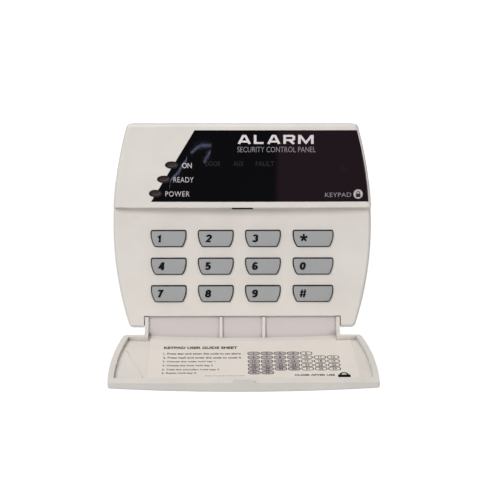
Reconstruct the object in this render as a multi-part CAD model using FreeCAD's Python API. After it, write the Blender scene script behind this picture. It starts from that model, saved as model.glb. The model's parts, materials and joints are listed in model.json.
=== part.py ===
import FreeCAD, Part
import math
import os
from FreeCAD import Vector

# Wall-mounted alarm keypad with a drop-down door, in millimetres.
# X runs to the right, Y runs into the wall and Z is up. The origin is the centre of the back face.
# The front of the keypad looks along -Y. The door is built closed and then swung open, its rest pose.

# ---- driving dimensions -------------------------------------------------------------------------
BODY_WIDTH = 139.5
BODY_HEIGHT = 110.7
HALF_HEIGHT = BODY_HEIGHT / 2
UPPER_SIDE_RADIUS = 197.5
LOWER_SIDE_RADIUS = 178.0
SIDE_ARC_LEVEL = -0.5
TOP_CORNER_RADIUS = 2.5
BOTTOM_CORNER_RADIUS = 2.9

WALL_FACE_Y = 0.0
BACK_PLATE_THICKNESS = 2.0
SEAM_Y = -8.0
SEAM_GAP = 0.2
KEY_FIELD_Y = -24.0
CROWN_Y = -29.8
CROWN_RADIUS = 1100.0
SIDE_WALL = 2.0
FRONT_WALL = 1.8
FRONT_ROUND = 2.1
LEDGE_Z = 10.3
FAR = 200.0
OVERLAP = 0.1
PAST = 1.0

# lens and its seat
LENS_THICKNESS = 1.9
LENS_GAP = 0.1
LENS_SEAT_GAP = 0.02
LENS_BOTTOM_Z = 13.5
LENS_TOP_Z = 51.65
LENS_LEFT_BOTTOM_X = -49.0
LENS_LEFT_TOP_X = -25.6
LENS_SIDE_INSET = 1.4
LENS_LEDGE = 2.0
FRAME_MARGIN = 1.5
FRAME_DEPTH = 1.9
HOOD_WALL = 2.0
BOSS_HOOD_DEPTH = 2.4

# zone lamps behind the lens, in a black box with a printed film over it
ZONE_XS = (-15.7, -1.9, 12.1)
ZONE_Z = 34.4
ZONE_CELL_HALF_WIDTH = 5.2
ZONE_CELL_HALF_HEIGHT = 3.4
SHIELD_HALF_WIDTH = 19.6
SHIELD_BOTTOM_Z = 15.8
SHIELD_TOP_Z = 39.0
SHIELD_FRONT_Y = -26.0
SHIELD_WALL = 1.2
SHIELD_FACE = 2.0
FILM_GAP = 0.1
FILM_THICKNESS = 0.25
LAMP_HALF_WIDTH = 1.0
LAMP_HALF_HEIGHT = 0.65
LAMP_THICKNESS = 0.8

# status indicators, along the slanted left edge of the lens
INDICATOR_CENTRES = {"on": (-37.9, 33.15), "ready": (-42.2, 25.5), "power": (-46.6, 17.9)}
BEZEL_WIDTH = 7.1
BEZEL_HEIGHT = 3.8
BEZEL_WALL = 0.6
BEZEL_DEPTH = 3.0
BEZEL_PROUD = 0.25
PIPE_GAP = 0.05
PIPE_DOME_RADIUS = 9.0
PIPE_DOME_DEPTH = 0.15
PIPE_SHOULDER_DEPTH = 2.0
PIPE_BOARD_GAP = 1.3

# keys
KEY_HEIGHT = 8.5
KEY_WIDTH = 18.6
WIDE_KEY_WIDTH = 21.3
KEY_COLUMNS_X = (-49.2, -23.7, 1.8, 27.6)
KEY_ROWS_TOP_Z = (-2.45, -17.5, -32.45)
KEY_NAMES = (
    ("key_1", "key_2", "key_3", "key_star"),
    ("key_4", "key_5", "key_6", "key_0"),
    ("key_7", "key_8", "key_9", "key_hash"),
)
KEY_SIDE_RADIUS = 12.3
KEY_WIDEST_SHARE = 0.2
KEY_CORNER_RADIUS = 0.6
KEY_FRONT_Y = -25.5
KEY_CROWN_RADIUS = 45.0
KEY_EDGE_ROUND = 0.45
KEY_GAP = 0.45
KEY_FLANGE_MARGIN = 1.0
KEY_FLANGE_FRONT_Y = -21.8
KEY_FLANGE_BACK_Y = -20.8
KEY_BACK_Y = -19.2
KEY_TRAVEL = 1.1
PILL_RADIUS = 2.4
PILL_THICKNESS = 0.45
PILL_SHIFT_X = -1.2
KEY_LAMP_SHIFT_X = 4.6
KEY_LAMP_HALF_WIDTH = 0.8
KEY_LAMP_HALF_HEIGHT = 0.4
KEY_LAMP_THICKNESS = 0.7
LAMP_POCKET_START_X = 3.2
LAMP_POCKET_END_MARGIN = 2.6
LAMP_POCKET_HALF_HEIGHT = 1.8
LAMP_POCKET_DEPTH = 2.4
LAMP_POCKET_ROUND = 0.8

# silicone mat between the keys
MAT_FRONT_Y = -21.7
MAT_BACK_Y = -20.6
MAT_HALF_WIDTH = 52.5
MAT_TOP_Z = 0.8
MAT_BOTTOM_Z = -44.2
MAT_KEY_GAP = 0.35
MAT_BOSS_GAP = 0.3
MAT_CORNER_RADIUS = 2.0

# circuit board and what it carries
BOARD_FRONT_Y = -17.35
BOARD_THICKNESS = 1.6
BOARD_BACK_Y = BOARD_FRONT_Y + BOARD_THICKNESS
BOARD_HALF_WIDTH = 50.0
BOARD_TOP_Z = 50.0
BOARD_BOTTOM_Z = -42.5
BOARD_CORNER_RADIUS = 2.0
PAD_RADIUS = 3.2
PAD_THICKNESS = 0.08
PAD_SPLIT = 0.5
BOSS_CENTRES = ((-46.0, 44.0), (-46.0, 4.2), (46.0, 4.2), (-26.9, -29.25), (24.25, -29.25))
BOSS_RADIUS = 2.4
BOSS_HOLE_RADIUS = 1.15
BOARD_HOLE_RADIUS = 1.4
BOARD_SCREW_RADIUS = 1.1
BOARD_SCREW_HEAD_RADIUS = 2.3
BOARD_SCREW_HEAD_HEIGHT = 1.7
BOARD_SCREW_LENGTH = 6.0
CROSS_SLOT_HALF_WIDTH = 0.25
CROSS_SLOT_HALF_LENGTH = 1.4
CROSS_SLOT_DEPTH = 0.8

# parts on the back of the board
CHIP_LIFT = 0.15
CHIP_CHAMFER = 0.25
CHIP_LEG_HALF_WIDTH = 0.2
CHIP_LEG_REACH = 1.0
CHIP_LEG_THICKNESS = 0.3
CHIP_DIMPLE_RADIUS = 0.45
CHIP_DIMPLE_INSET = 1.2
BUZZER_X = 30.0
BUZZER_Z = -22.0
BUZZER_RADIUS = 6.0
BUZZER_HEIGHT = 7.0
BUZZER_HOLE_RADIUS = 1.2
BUZZER_HOLE_DEPTH = 3.0
BUZZER_ROUND = 0.8
TERMINAL_COUNT = 4
TERMINAL_PITCH = 5.08
TERMINAL_Z = 3.5
TERMINAL_HEIGHT = 9.0
TERMINAL_DEPTH = 9.4
TERMINAL_CHAMFER = 1.4
TERMINAL_SCREW_RADIUS = 1.75
TERMINAL_WELL_RADIUS = 1.85
TERMINAL_WELL_DEPTH = 4.0
TERMINAL_SCREW_DROP = 1.2
WIRE_HOLE_HALF_WIDTH = 1.6
WIRE_HOLE_TOP = 4.6
WIRE_HOLE_HEIGHT = 3.0
CAPACITOR_SIZES = ((-32.0, -14.0, 4.0, 9.0), (-32.0, -25.0, 3.2, 7.5), (-20.0, -35.5, 2.5, 6.5))
CAPACITOR_GROOVE_LOW = 1.2
CAPACITOR_GROOVE_HIGH = 1.8
CAPACITOR_GROOVE_DEPTH = 0.3
CAPACITOR_ROUND = 0.5
RESISTOR_COLUMNS = 6
RESISTOR_ROWS = 2
RESISTOR_START = (-9.0, -14.0)
RESISTOR_STEP = (4.2, -5.0)
RESISTOR_HALF_SIZE = (0.6, 1.0)
RESISTOR_THICKNESS = 0.55
REGULATOR_CENTRE = (10.0, -34.0)
REGULATOR_LEG_XS = (-2.3, 0.0, 2.3)
CRYSTAL_CENTRE = (-36.0, 10.0)
CRYSTAL_HALF_WIDTH = 5.5
CRYSTAL_HALF_HEIGHT = 2.3
CRYSTAL_THICKNESS = 3.4
CRYSTAL_FLANGE = 0.4
CRYSTAL_FLANGE_THICKNESS = 0.5
HEADER_X = -44.0
HEADER_START_Z = -22.0
HEADER_PITCH = 2.54
HEADER_COUNT = 5
HEADER_STRIP_HEIGHT = 2.5
HEADER_PIN_HEIGHT = 8.5
HEADER_PIN_HALF = 0.32

# door and hinge
HINGE_Y = -21.1
HINGE_Z = -53.08
OPEN_ANGLE = 108.5
DOOR_RIM_Y = -24.3
DOOR_BOTTOM_Z = -45.0
DOOR_TOP_Z = 10.0
DOOR_FLOOR = 1.6
DOOR_SIDE_WALL = 3.0
DOOR_HINGE_WALL = 2.0
DOOR_END_WALL = 6.0
DOOR_ROUND = 0.9
DOOR_FREE_CORNER_ROUND = 1.2
DOOR_HINGE_CORNER_ROUND = 3.0
BUMP_Z = -13.0
BUMP_RADIUS = 1.6
BUMP_REACH = 0.5
TONGUE_BOTTOM_Z = -50.9
NECK_REACH = 5.0
FLAP_HALF_WIDTH = 53.07
FLAP_FRONT_Y = -22.0
FLAP_THICKNESS = 1.6
FLAP_DROP = 12.0
HEEL_TOP_Z = HINGE_Z + 6.15
RIB_DEPTH = 1.2
RIB_TOP_Z = HINGE_Z + 3.55
END_RIB_WIDTH = 2.0
MIDDLE_RIB_WIDTH = 1.6
MIDDLE_RIB_X = 11.65
PIN_RADIUS = 1.3
PIN_HOLE_RADIUS = 1.36
PIN_END_X = 56.6
PIN_END_GAP = 0.3
PIN_ROOT = 3.0
CATCH_HALF_WIDTH = 5.4
CATCH_BOTTOM_Z = 9.3
CATCH_TIP_Y = -22.5
CATCH_ROOT = 1.5
CATCH_SLOT_BOTTOM_Z = 9.0
CATCH_SLOT_HALF_WIDTH = 5.7
LABEL_LEFT_X = -50.0
LABEL_RIGHT_BOTTOM_X = 58.6
LABEL_RIGHT_TOP_X = 60.8
LABEL_EDGE_GAP = 0.2
LABEL_BOTTOM_Z = -44.7
LABEL_TOP_Z = 3.2
LABEL_THICKNESS = 0.15
LABEL_GAP = 0.04

# bay in the housing for the hinge
NOTCH_HALF_WIDTH = 53.5
NOTCH_TOP_Z = -48.9
BAY_BACK_Y = -13.8
BAY_TOP_Z = -46.2
BAY_WALL = 1.4

# snap hooks along the top edge and the screw tab at the bottom
HOOK_XS = (-34.0, 34.0)
HOOK_HALF_WIDTH = 5.0
HOOK_THICKNESS = 1.6
HOOK_GAP = 0.3
HOOK_ROOT = 0.8
HOOK_TIP_Y = -4.0
TAB_HALF_WIDTH = 6.0
TAB_TIP_Y = -2.4
TAB_REACH = 8.0

# back plate
PLATE_ROUND = 0.8
PLATE_RIB_ZS = (-20.0, 0.0, 42.0)
PLATE_RIB_HALF_LENGTH = 48.0
PLATE_RIB_HALF_WIDTH = 0.7
PLATE_RIB_FRONT_Y = -4.0
SCREW_POST_RADIUS = 4.2
SCREW_POST_FRONT_Y = -3.2
SCREW_HOLE_RADIUS = 2.25
SCREW_HOLE_X = 56.0
SCREW_HOLE_Z = 30.0
CABLE_ENTRY_HALF_WIDTH = 14.0
CABLE_ENTRY_BOTTOM_Z = 14.0
CABLE_ENTRY_TOP_Z = 34.0
CABLE_ENTRY_CORNER = 3.0

# tamper switch
TAMPER_X = 38.0
TAMPER_Z = 24.0
TAMPER_BODY_WIDTH = 8.0
TAMPER_BODY_BACK_Y = -9.6
TAMPER_BODY_ROUND = 0.6
TAMPER_FLOOR = 0.6
PLUNGER_RADIUS = 1.4
PLUNGER_BORE_RADIUS = 1.46
PLUNGER_CAP_RADIUS = 2.6
PLUNGER_CAP_THICKNESS = 1.2
PLUNGER_CAP_BACK_Y = -2.3
PLUNGER_INNER_Y = -13.2
PLUNGER_HOLE_RADIUS = 1.9
PLUNGER_TIP_ROUND = 0.6
SPRING_RADIUS = 2.0
SPRING_WIRE_RADIUS = 0.25
SPRING_TURNS = 5
SPRING_END_GAP = 0.02

# screw that holds the housing to the back plate from below
CASE_SCREW_Y = -4.6
CASE_SCREW_RADIUS = 1.4
CASE_SCREW_HEAD_RADIUS = 2.7
CASE_SCREW_HEAD_HEIGHT = 1.6
CASE_SCREW_LENGTH = 7.0
CASE_SCREW_FIT = 0.05
CASE_SCREW_CLEARANCE = 0.2
CASE_SCREW_SLOT_HALF_WIDTH = 0.3
CASE_SCREW_SLOT_HALF_LENGTH = 1.7
CASE_SCREW_SLOT_DEPTH = 0.9


# ---- small helpers ------------------------------------------------------------------------------
def block(x0, x1, y0, y1, z0, z1):
    """A box between two corners."""
    return Part.makeBox(x1 - x0, y1 - y0, z1 - z0, Vector(x0, y0, z0))


def rod(radius, x, z, y0, y1):
    """A cylinder along Y."""
    return Part.makeCylinder(radius, y1 - y0, Vector(x, y0, z), Vector(0, 1, 0))


def upright_rod(radius, x, y, z0, z1):
    """A cylinder along Z."""
    return Part.makeCylinder(radius, z1 - z0, Vector(x, y, z0), Vector(0, 0, 1))


def cross_rod(radius, x0, x1):
    """A cylinder along the hinge line."""
    return Part.makeCylinder(radius, x1 - x0, Vector(x0, HINGE_Y, HINGE_Z), Vector(1, 0, 0))


def cross_slots(x, z, half_width, half_length, y0, y1):
    """Two crossed slots seen along Y, for the head of a screw."""
    return [
        block(x - half_length, x + half_length, y0, y1, z - half_width, z + half_width),
        block(x - half_width, x + half_width, y0, y1, z - half_length, z + half_length),
    ]


def prism(wire, y0, y1):
    """A wire in a plane across Y, filled and run from y0 to y1."""
    face = Part.Face(wire)
    face.translate(Vector(0, y0 - wire.BoundBox.YMin, 0))
    return face.extrude(Vector(0, y1 - y0, 0))


def fuse_all(shapes):
    """One solid from several that touch or overlap."""
    first = shapes[0]
    joined = first.fuse(shapes[1:]) if len(shapes) > 1 else first
    return joined.removeSplitter()


def edges_along_y(shape):
    """Straight edges that run along Y."""
    found = []
    for edge in shape.Edges:
        if len(edge.Vertexes) == 2:
            step = edge.Vertexes[1].Point - edge.Vertexes[0].Point
            if abs(step.y) > 0.99 * step.Length and step.Length > 0.1:
                found.append(edge)
    return found


def end_circle(shape, y):
    """The round edge of a cylinder along Y at one of its ends."""
    return [edge for edge in shape.Edges if len(edge.Vertexes) == 1 and abs(edge.CenterOfMass.y - y) < 0.01]


def rounded_block(x0, x1, y0, y1, z0, z1, radius):
    """A box whose edges along Y are rounded."""
    solid = block(x0, x1, y0, y1, z0, z1)
    return solid.makeFillet(radius, edges_along_y(solid))


def slab_behind_crown(depth):
    """Everything that lies further in than the crowned front surface by the depth given."""
    radius = CROWN_RADIUS - depth
    base = Vector(0, CROWN_Y + CROWN_RADIUS, -FAR)
    return Part.makeCylinder(radius, 2 * FAR, base, Vector(0, 0, 1))


def crown_surface_y(x):
    """Where the crowned front surface lies at a distance from the middle."""
    return CROWN_Y + CROWN_RADIUS - math.sqrt(CROWN_RADIUS ** 2 - x ** 2)


def swing(shape, angle):
    """The shape turned about the hinge line; a positive angle opens the door."""
    turned = shape.copy()
    turned.rotate(Vector(0, HINGE_Y, HINGE_Z), Vector(1, 0, 0), angle)
    return turned


# ---- outlines -----------------------------------------------------------------------------------
def side_x(z):
    """Half the width of the housing at a height."""
    rise = z - SIDE_ARC_LEVEL
    radius = UPPER_SIDE_RADIUS if rise > 0 else LOWER_SIDE_RADIUS
    return BODY_WIDTH / 2 - radius + math.sqrt(radius ** 2 - rise ** 2)


def side_arcs(side, z0, z1, inset):
    """The two arcs of one side of the barrel, from one height up to another."""
    arcs = []
    for low, high in ((z0, SIDE_ARC_LEVEL), (SIDE_ARC_LEVEL, z1)):
        points = [Vector(side * (side_x(z) - inset), 0, z) for z in (low, (low + high) / 2, high)]
        arcs.append(Part.Arc(*points).toShape())
    return arcs


def barrel_wire(z0, z1, inset=0.0):
    """The barrel outline between two heights, with sharp corners, at y = 0."""
    low_x = side_x(z0) - inset
    high_x = side_x(z1) - inset
    bottom = Part.makeLine(Vector(-low_x, 0, z0), Vector(low_x, 0, z0))
    top = Part.makeLine(Vector(high_x, 0, z1), Vector(-high_x, 0, z1))
    edges = [bottom] + side_arcs(1, z0, z1, inset) + [top] + side_arcs(-1, z0, z1, inset)
    return Part.Wire(Part.__sortEdges__(edges))


def corner_edges(shape):
    """The edges along Y at the corners of a barrel, leaving out those where its side arcs meet."""
    return [edge for edge in edges_along_y(shape) if abs(edge.CenterOfMass.z - SIDE_ARC_LEVEL) > 1.0]


def barrel(inset, y0, y1):
    """The whole housing outline, drawn in by the inset and run from y0 to y1."""
    solid = prism(barrel_wire(-HALF_HEIGHT, HALF_HEIGHT), 0.0, 1.0)
    top = [edge for edge in corner_edges(solid) if edge.CenterOfMass.z > 0]
    solid = solid.makeFillet(TOP_CORNER_RADIUS, top)
    bottom = [edge for edge in corner_edges(solid) if edge.CenterOfMass.z < 0]
    solid = solid.makeFillet(BOTTOM_CORNER_RADIUS, bottom)
    front = min(solid.Faces, key=lambda face: face.CenterOfMass.y)
    wire = front.OuterWire
    if inset > 0:
        wire = wire.makeOffset2D(-inset)
    return prism(wire, y0, y1)


def lens_wire(grow):
    """The lens outline: a slanted left edge and a right edge that follows the housing."""
    arc_radius = UPPER_SIDE_RADIUS - LENS_SIDE_INSET
    arc_centre = BODY_WIDTH / 2 - UPPER_SIDE_RADIUS

    def right_x(z):
        return arc_centre + math.sqrt(arc_radius ** 2 - (z - SIDE_ARC_LEVEL) ** 2)

    middle = (LENS_BOTTOM_Z + LENS_TOP_Z) / 2
    lower_left = Vector(LENS_LEFT_BOTTOM_X, 0, LENS_BOTTOM_Z)
    upper_left = Vector(LENS_LEFT_TOP_X, 0, LENS_TOP_Z)
    right = [Vector(right_x(z), 0, z) for z in (LENS_BOTTOM_Z, middle, LENS_TOP_Z)]
    edges = [
        Part.makeLine(lower_left, right[0]),
        Part.Arc(*right).toShape(),
        Part.makeLine(right[2], upper_left),
        Part.makeLine(upper_left, lower_left),
    ]
    wire = Part.Wire(edges)
    if grow != 0:
        wire = wire.makeOffset2D(grow, 2)
    return wire


def oval_wire(x, z, width, height):
    """An ellipse across Y."""
    wire = Part.Wire([Part.Ellipse(Vector(0, 0, 0), width / 2, height / 2).toShape()])
    wire.rotate(Vector(0, 0, 0), Vector(1, 0, 0), 90)
    wire.translate(Vector(x, 0, z))
    return wire


def oval(x, z, grow, y0, y1):
    """An indicator opening, larger all round by the growth given."""
    return prism(oval_wire(x, z, BEZEL_WIDTH + 2 * grow, BEZEL_HEIGHT + 2 * grow), y0, y1)


def key_wire(left_x, top_z, width, grow):
    """A key seen from the front: straight top and bottom, with sides that curve in below."""
    middle_x = left_x + width / 2
    widest_z = top_z - KEY_WIDEST_SHARE * KEY_HEIGHT
    bottom_z = top_z - KEY_HEIGHT
    centre_x = width / 2 - KEY_SIDE_RADIUS

    def half(z):
        return centre_x + math.sqrt(KEY_SIDE_RADIUS ** 2 - (z - widest_z) ** 2)

    levels = (bottom_z, (bottom_z + top_z) / 2, top_z)
    right = [Vector(middle_x + half(z), 0, z) for z in levels]
    left = [Vector(middle_x - half(z), 0, z) for z in levels]
    edges = [
        Part.makeLine(left[0], right[0]),
        Part.Arc(*right).toShape(),
        Part.makeLine(right[2], left[2]),
        Part.Arc(left[2], left[1], left[0]).toShape(),
    ]
    solid = prism(Part.Wire(edges), 0.0, 1.0)
    solid = solid.makeFillet(KEY_CORNER_RADIUS, edges_along_y(solid))
    wire = min(solid.Faces, key=lambda face: face.CenterOfMass.y).OuterWire
    if grow != 0:
        wire = wire.makeOffset2D(grow)
    return wire


def key_places():
    """The name, left edge, top edge and width of every key."""
    places = []
    for row, names in enumerate(KEY_NAMES):
        for column, name in enumerate(names):
            width = WIDE_KEY_WIDTH if column == len(names) - 1 else KEY_WIDTH
            places.append((name, KEY_COLUMNS_X[column], KEY_ROWS_TOP_Z[row], width))
    return places


# ---- front housing ------------------------------------------------------------------------------
def hood_outside():
    """The proud upper part of the housing, with its crowned face and rounded edges."""
    solid = barrel(0.0, CROWN_Y - 3.0, SEAM_Y - SEAM_GAP)
    solid = solid.common(block(-FAR, FAR, -FAR, FAR, LEDGE_Z, FAR))
    solid = solid.common(slab_behind_crown(0.0)).removeSplitter()
    crown = min(solid.Faces, key=lambda face: face.CenterOfMass.y)
    rim = [edge for edge in crown.Edges if edge.CenterOfMass.z > LEDGE_Z + 0.5]
    return solid.makeFillet(FRONT_ROUND, rim)


def lower_outside():
    """The flat key field and the sides around it, with rounded front edges."""
    solid = barrel(0.0, KEY_FIELD_Y, SEAM_Y - SEAM_GAP)
    front = min(solid.Faces, key=lambda face: face.CenterOfMass.y)
    return solid.makeFillet(FRONT_ROUND, front.Edges)


def housing_cavity():
    """The space inside the housing."""
    inner_y = KEY_FIELD_Y + FRONT_WALL
    lower = barrel(SIDE_WALL, inner_y, SEAM_Y + 1.0)
    upper = barrel(SIDE_WALL, CROWN_Y - 1.0, SEAM_Y + 1.0)
    upper = upper.common(block(-FAR, FAR, -FAR, FAR, LEDGE_Z + HOOD_WALL, FAR))
    upper = upper.common(slab_behind_crown(HOOD_WALL))
    return lower.fuse(upper)


def front_housing(hood):
    shell = hood.fuse(lower_outside()).cut(housing_cavity())

    # frame behind the lens
    frame = prism(lens_wire(FRAME_MARGIN), CROWN_Y - 1.0, KEY_FIELD_Y)
    frame = frame.common(slab_behind_crown(HOOD_WALL - OVERLAP))
    frame = frame.cut(slab_behind_crown(LENS_THICKNESS + FRAME_DEPTH))
    frame = frame.common(barrel(SIDE_WALL / 2, CROWN_Y, SEAM_Y))

    # walls of the hinge bay
    bay = block(-NOTCH_HALF_WIDTH - SIDE_WALL, NOTCH_HALF_WIDTH + SIDE_WALL,
                KEY_FIELD_Y + FRONT_WALL / 2, BAY_BACK_Y + BAY_WALL,
                -HALF_HEIGHT, BAY_TOP_Z + BAY_WALL)

    # screw tab that hangs from the bay and reaches down into the back plate
    tab_bottom = -HALF_HEIGHT + SIDE_WALL + HOOK_GAP
    tab_top = BAY_TOP_Z + BAY_WALL
    tab = block(-TAB_HALF_WIDTH, TAB_HALF_WIDTH, BAY_BACK_Y + BAY_WALL / 2, TAB_TIP_Y, tab_bottom, tab_top)

    # hooks that hold the top edge of the back plate
    hooks = []
    wall_z = HALF_HEIGHT - SIDE_WALL
    for x in HOOK_XS:
        hook_z = wall_z - HOOK_GAP - HOOK_THICKNESS
        hooks.append(block(x - HOOK_HALF_WIDTH, x + HOOK_HALF_WIDTH, SEAM_Y - 3.0, HOOK_TIP_Y,
                           hook_z, wall_z - HOOK_GAP))
        hooks.append(block(x - HOOK_HALF_WIDTH, x + HOOK_HALF_WIDTH, SEAM_Y - 3.0, SEAM_Y - 1.0,
                           hook_z, wall_z + HOOK_ROOT))

    bosses = []
    for x, z in BOSS_CENTRES:
        root_y = KEY_FIELD_Y + FRONT_WALL / 2 if z < LEDGE_Z else CROWN_Y + BOSS_HOOD_DEPTH
        bosses.append(rod(BOSS_RADIUS, x, z, root_y, BOARD_FRONT_Y))

    shell = fuse_all([shell, frame, bay, tab] + hooks + bosses)

    inside_front_y = KEY_FIELD_Y + FRONT_WALL + OVERLAP
    cuts = [
        block(-NOTCH_HALF_WIDTH, NOTCH_HALF_WIDTH, KEY_FIELD_Y + FRONT_WALL, BAY_BACK_Y,
              -HALF_HEIGHT - PAST, BAY_TOP_Z),
        block(-NOTCH_HALF_WIDTH, NOTCH_HALF_WIDTH, KEY_FIELD_Y - PAST, inside_front_y,
              -HALF_HEIGHT - PAST, NOTCH_TOP_Z),
        block(-CATCH_SLOT_HALF_WIDTH, CATCH_SLOT_HALF_WIDTH, KEY_FIELD_Y - PAST, inside_front_y,
              CATCH_SLOT_BOTTOM_Z, LEDGE_Z),
        upright_rod(CASE_SCREW_RADIUS + CASE_SCREW_FIT, 0, CASE_SCREW_Y, -HALF_HEIGHT + SIDE_WALL,
                    -HALF_HEIGHT + SIDE_WALL + TAB_REACH),
        cross_rod(PIN_HOLE_RADIUS, -PIN_END_X - PIN_END_GAP, PIN_END_X + PIN_END_GAP),
        prism(lens_wire(LENS_GAP), CROWN_Y - PAST, KEY_FIELD_Y).cut(slab_behind_crown(LENS_THICKNESS)),
        prism(lens_wire(-LENS_LEDGE), CROWN_Y - PAST, KEY_FIELD_Y + FRONT_WALL),
    ]
    for x, z in INDICATOR_CENTRES.values():
        cuts.append(oval(x, z, LENS_GAP, CROWN_Y - PAST, BOARD_FRONT_Y))
    for _, left_x, top_z, width in key_places():
        cuts.append(prism(key_wire(left_x, top_z, width, KEY_GAP), KEY_FIELD_Y - PAST, KEY_FLANGE_FRONT_Y))
    for x, z in BOSS_CENTRES:
        hole_y = BOARD_BACK_Y - BOARD_SCREW_LENGTH - PAST / 2
        cuts.append(rod(BOSS_HOLE_RADIUS, x, z, hole_y, BOARD_FRONT_Y + PAST))
    return shell.cut(cuts).removeSplitter()


def display_lens(hood):
    lens = prism(lens_wire(0.0), CROWN_Y - PAST, KEY_FIELD_Y).common(hood)
    lens = lens.cut(slab_behind_crown(LENS_THICKNESS - LENS_SEAT_GAP))
    ovals = [oval(x, z, LENS_GAP, CROWN_Y - PAST, KEY_FIELD_Y) for x, z in INDICATOR_CENTRES.values()]
    return lens.cut(ovals)


# ---- back plate ---------------------------------------------------------------------------------
def back_plate():
    solid = barrel(0.0, SEAM_Y, WALL_FACE_Y)
    back = max(solid.Faces, key=lambda face: face.CenterOfMass.y)
    solid = solid.makeFillet(PLATE_ROUND, back.Edges)
    solid = solid.cut(barrel(SIDE_WALL, SEAM_Y - PAST, -BACK_PLATE_THICKNESS))
    root_y = -BACK_PLATE_THICKNESS + OVERLAP
    added = [rod(SCREW_POST_RADIUS, x, z, SCREW_POST_FRONT_Y, root_y) for x, z in wall_screw_places()]
    for z in PLATE_RIB_ZS:
        added.append(block(-PLATE_RIB_HALF_LENGTH, PLATE_RIB_HALF_LENGTH, PLATE_RIB_FRONT_Y, root_y,
                           z - PLATE_RIB_HALF_WIDTH, z + PLATE_RIB_HALF_WIDTH))
    solid = fuse_all([solid] + added)
    front_y = SEAM_Y - PAST
    cuts = [rod(SCREW_HOLE_RADIUS, x, z, front_y, PAST) for x, z in wall_screw_places()]
    cuts.append(rounded_block(-CABLE_ENTRY_HALF_WIDTH, CABLE_ENTRY_HALF_WIDTH, front_y, PAST,
                              CABLE_ENTRY_BOTTOM_Z, CABLE_ENTRY_TOP_Z, CABLE_ENTRY_CORNER))
    cuts.append(rod(PLUNGER_HOLE_RADIUS, TAMPER_X, TAMPER_Z, front_y, PAST))
    cuts.append(upright_rod(CASE_SCREW_RADIUS + CASE_SCREW_CLEARANCE, 0, CASE_SCREW_Y,
                            -HALF_HEIGHT - PAST, -HALF_HEIGHT + SIDE_WALL + PAST))
    return solid.cut(cuts)


def wall_screw_places():
    return [(x, z) for x in (-SCREW_HOLE_X, SCREW_HOLE_X) for z in (-SCREW_HOLE_Z, SCREW_HOLE_Z)]


# ---- door ---------------------------------------------------------------------------------------
def closed_tray():
    """The door's shallow tray as it lies when the door is shut."""
    front_y = CROWN_Y - PAST
    outer = prism(barrel_wire(DOOR_BOTTOM_Z, DOOR_TOP_Z), front_y, DOOR_RIM_Y)
    outer = outer.common(slab_behind_crown(0.0))
    free = [edge for edge in corner_edges(outer) if edge.CenterOfMass.z > 0]
    outer = outer.makeFillet(DOOR_FREE_CORNER_ROUND, free)
    hinged = [edge for edge in corner_edges(outer) if edge.CenterOfMass.z < 0]
    outer = outer.makeFillet(DOOR_HINGE_CORNER_ROUND, hinged)
    tongue = block(-FLAP_HALF_WIDTH, FLAP_HALF_WIDTH, front_y, DOOR_RIM_Y,
                   TONGUE_BOTTOM_Z, DOOR_BOTTOM_Z + NECK_REACH)
    outer = outer.fuse(tongue.common(slab_behind_crown(0.0))).removeSplitter()
    crown = min(outer.Faces, key=lambda face: face.CenterOfMass.y)
    edges = [edge for edge in crown.Edges if edge.CenterOfMass.z > DOOR_BOTTOM_Z - OVERLAP]
    outer = outer.makeFillet(DOOR_ROUND, edges)

    tray = outer.cut(tray_hollow(0.0).common(slab_behind_crown(DOOR_FLOOR)))
    catch = block(-CATCH_HALF_WIDTH, CATCH_HALF_WIDTH, DOOR_RIM_Y - CATCH_ROOT, CATCH_TIP_Y,
                  CATCH_BOTTOM_Z, DOOR_TOP_Z)
    return fuse_all([tray, catch] + side_bumps())


def tray_hollow(gap):
    """The inside of the shut tray down to any depth, smaller all round by the gap."""
    low_z = DOOR_BOTTOM_Z + DOOR_HINGE_WALL
    wire = barrel_wire(low_z + gap, DOOR_TOP_Z - DOOR_END_WALL - gap, DOOR_SIDE_WALL + gap)
    neck_x = FLAP_HALF_WIDTH - END_RIB_WIDTH - gap
    neck = block(-neck_x, neck_x, CROWN_Y, DOOR_RIM_Y + PAST, TONGUE_BOTTOM_Z - PAST, low_z + NECK_REACH)
    return prism(wire, CROWN_Y, DOOR_RIM_Y + PAST).fuse(neck)


def side_bumps():
    """A small round bump inside each side wall of the tray."""
    bumps = []
    for side in (-1, 1):
        x = side_x(BUMP_Z) - DOOR_SIDE_WALL + BUMP_RADIUS - BUMP_REACH
        bumps.append(rod(BUMP_RADIUS, side * x, BUMP_Z, crown_surface_y(x) + DOOR_FLOOR / 2, DOOR_RIM_Y))
    return bumps


def flap_rib_places():
    """The left and right side of every rib on the flap."""
    half = MIDDLE_RIB_WIDTH / 2
    return [
        (-FLAP_HALF_WIDTH, -FLAP_HALF_WIDTH + END_RIB_WIDTH),
        (-MIDDLE_RIB_X - half, -MIDDLE_RIB_X + half),
        (MIDDLE_RIB_X - half, MIDDLE_RIB_X + half),
        (FLAP_HALF_WIDTH - END_RIB_WIDTH, FLAP_HALF_WIDTH),
    ]


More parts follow.
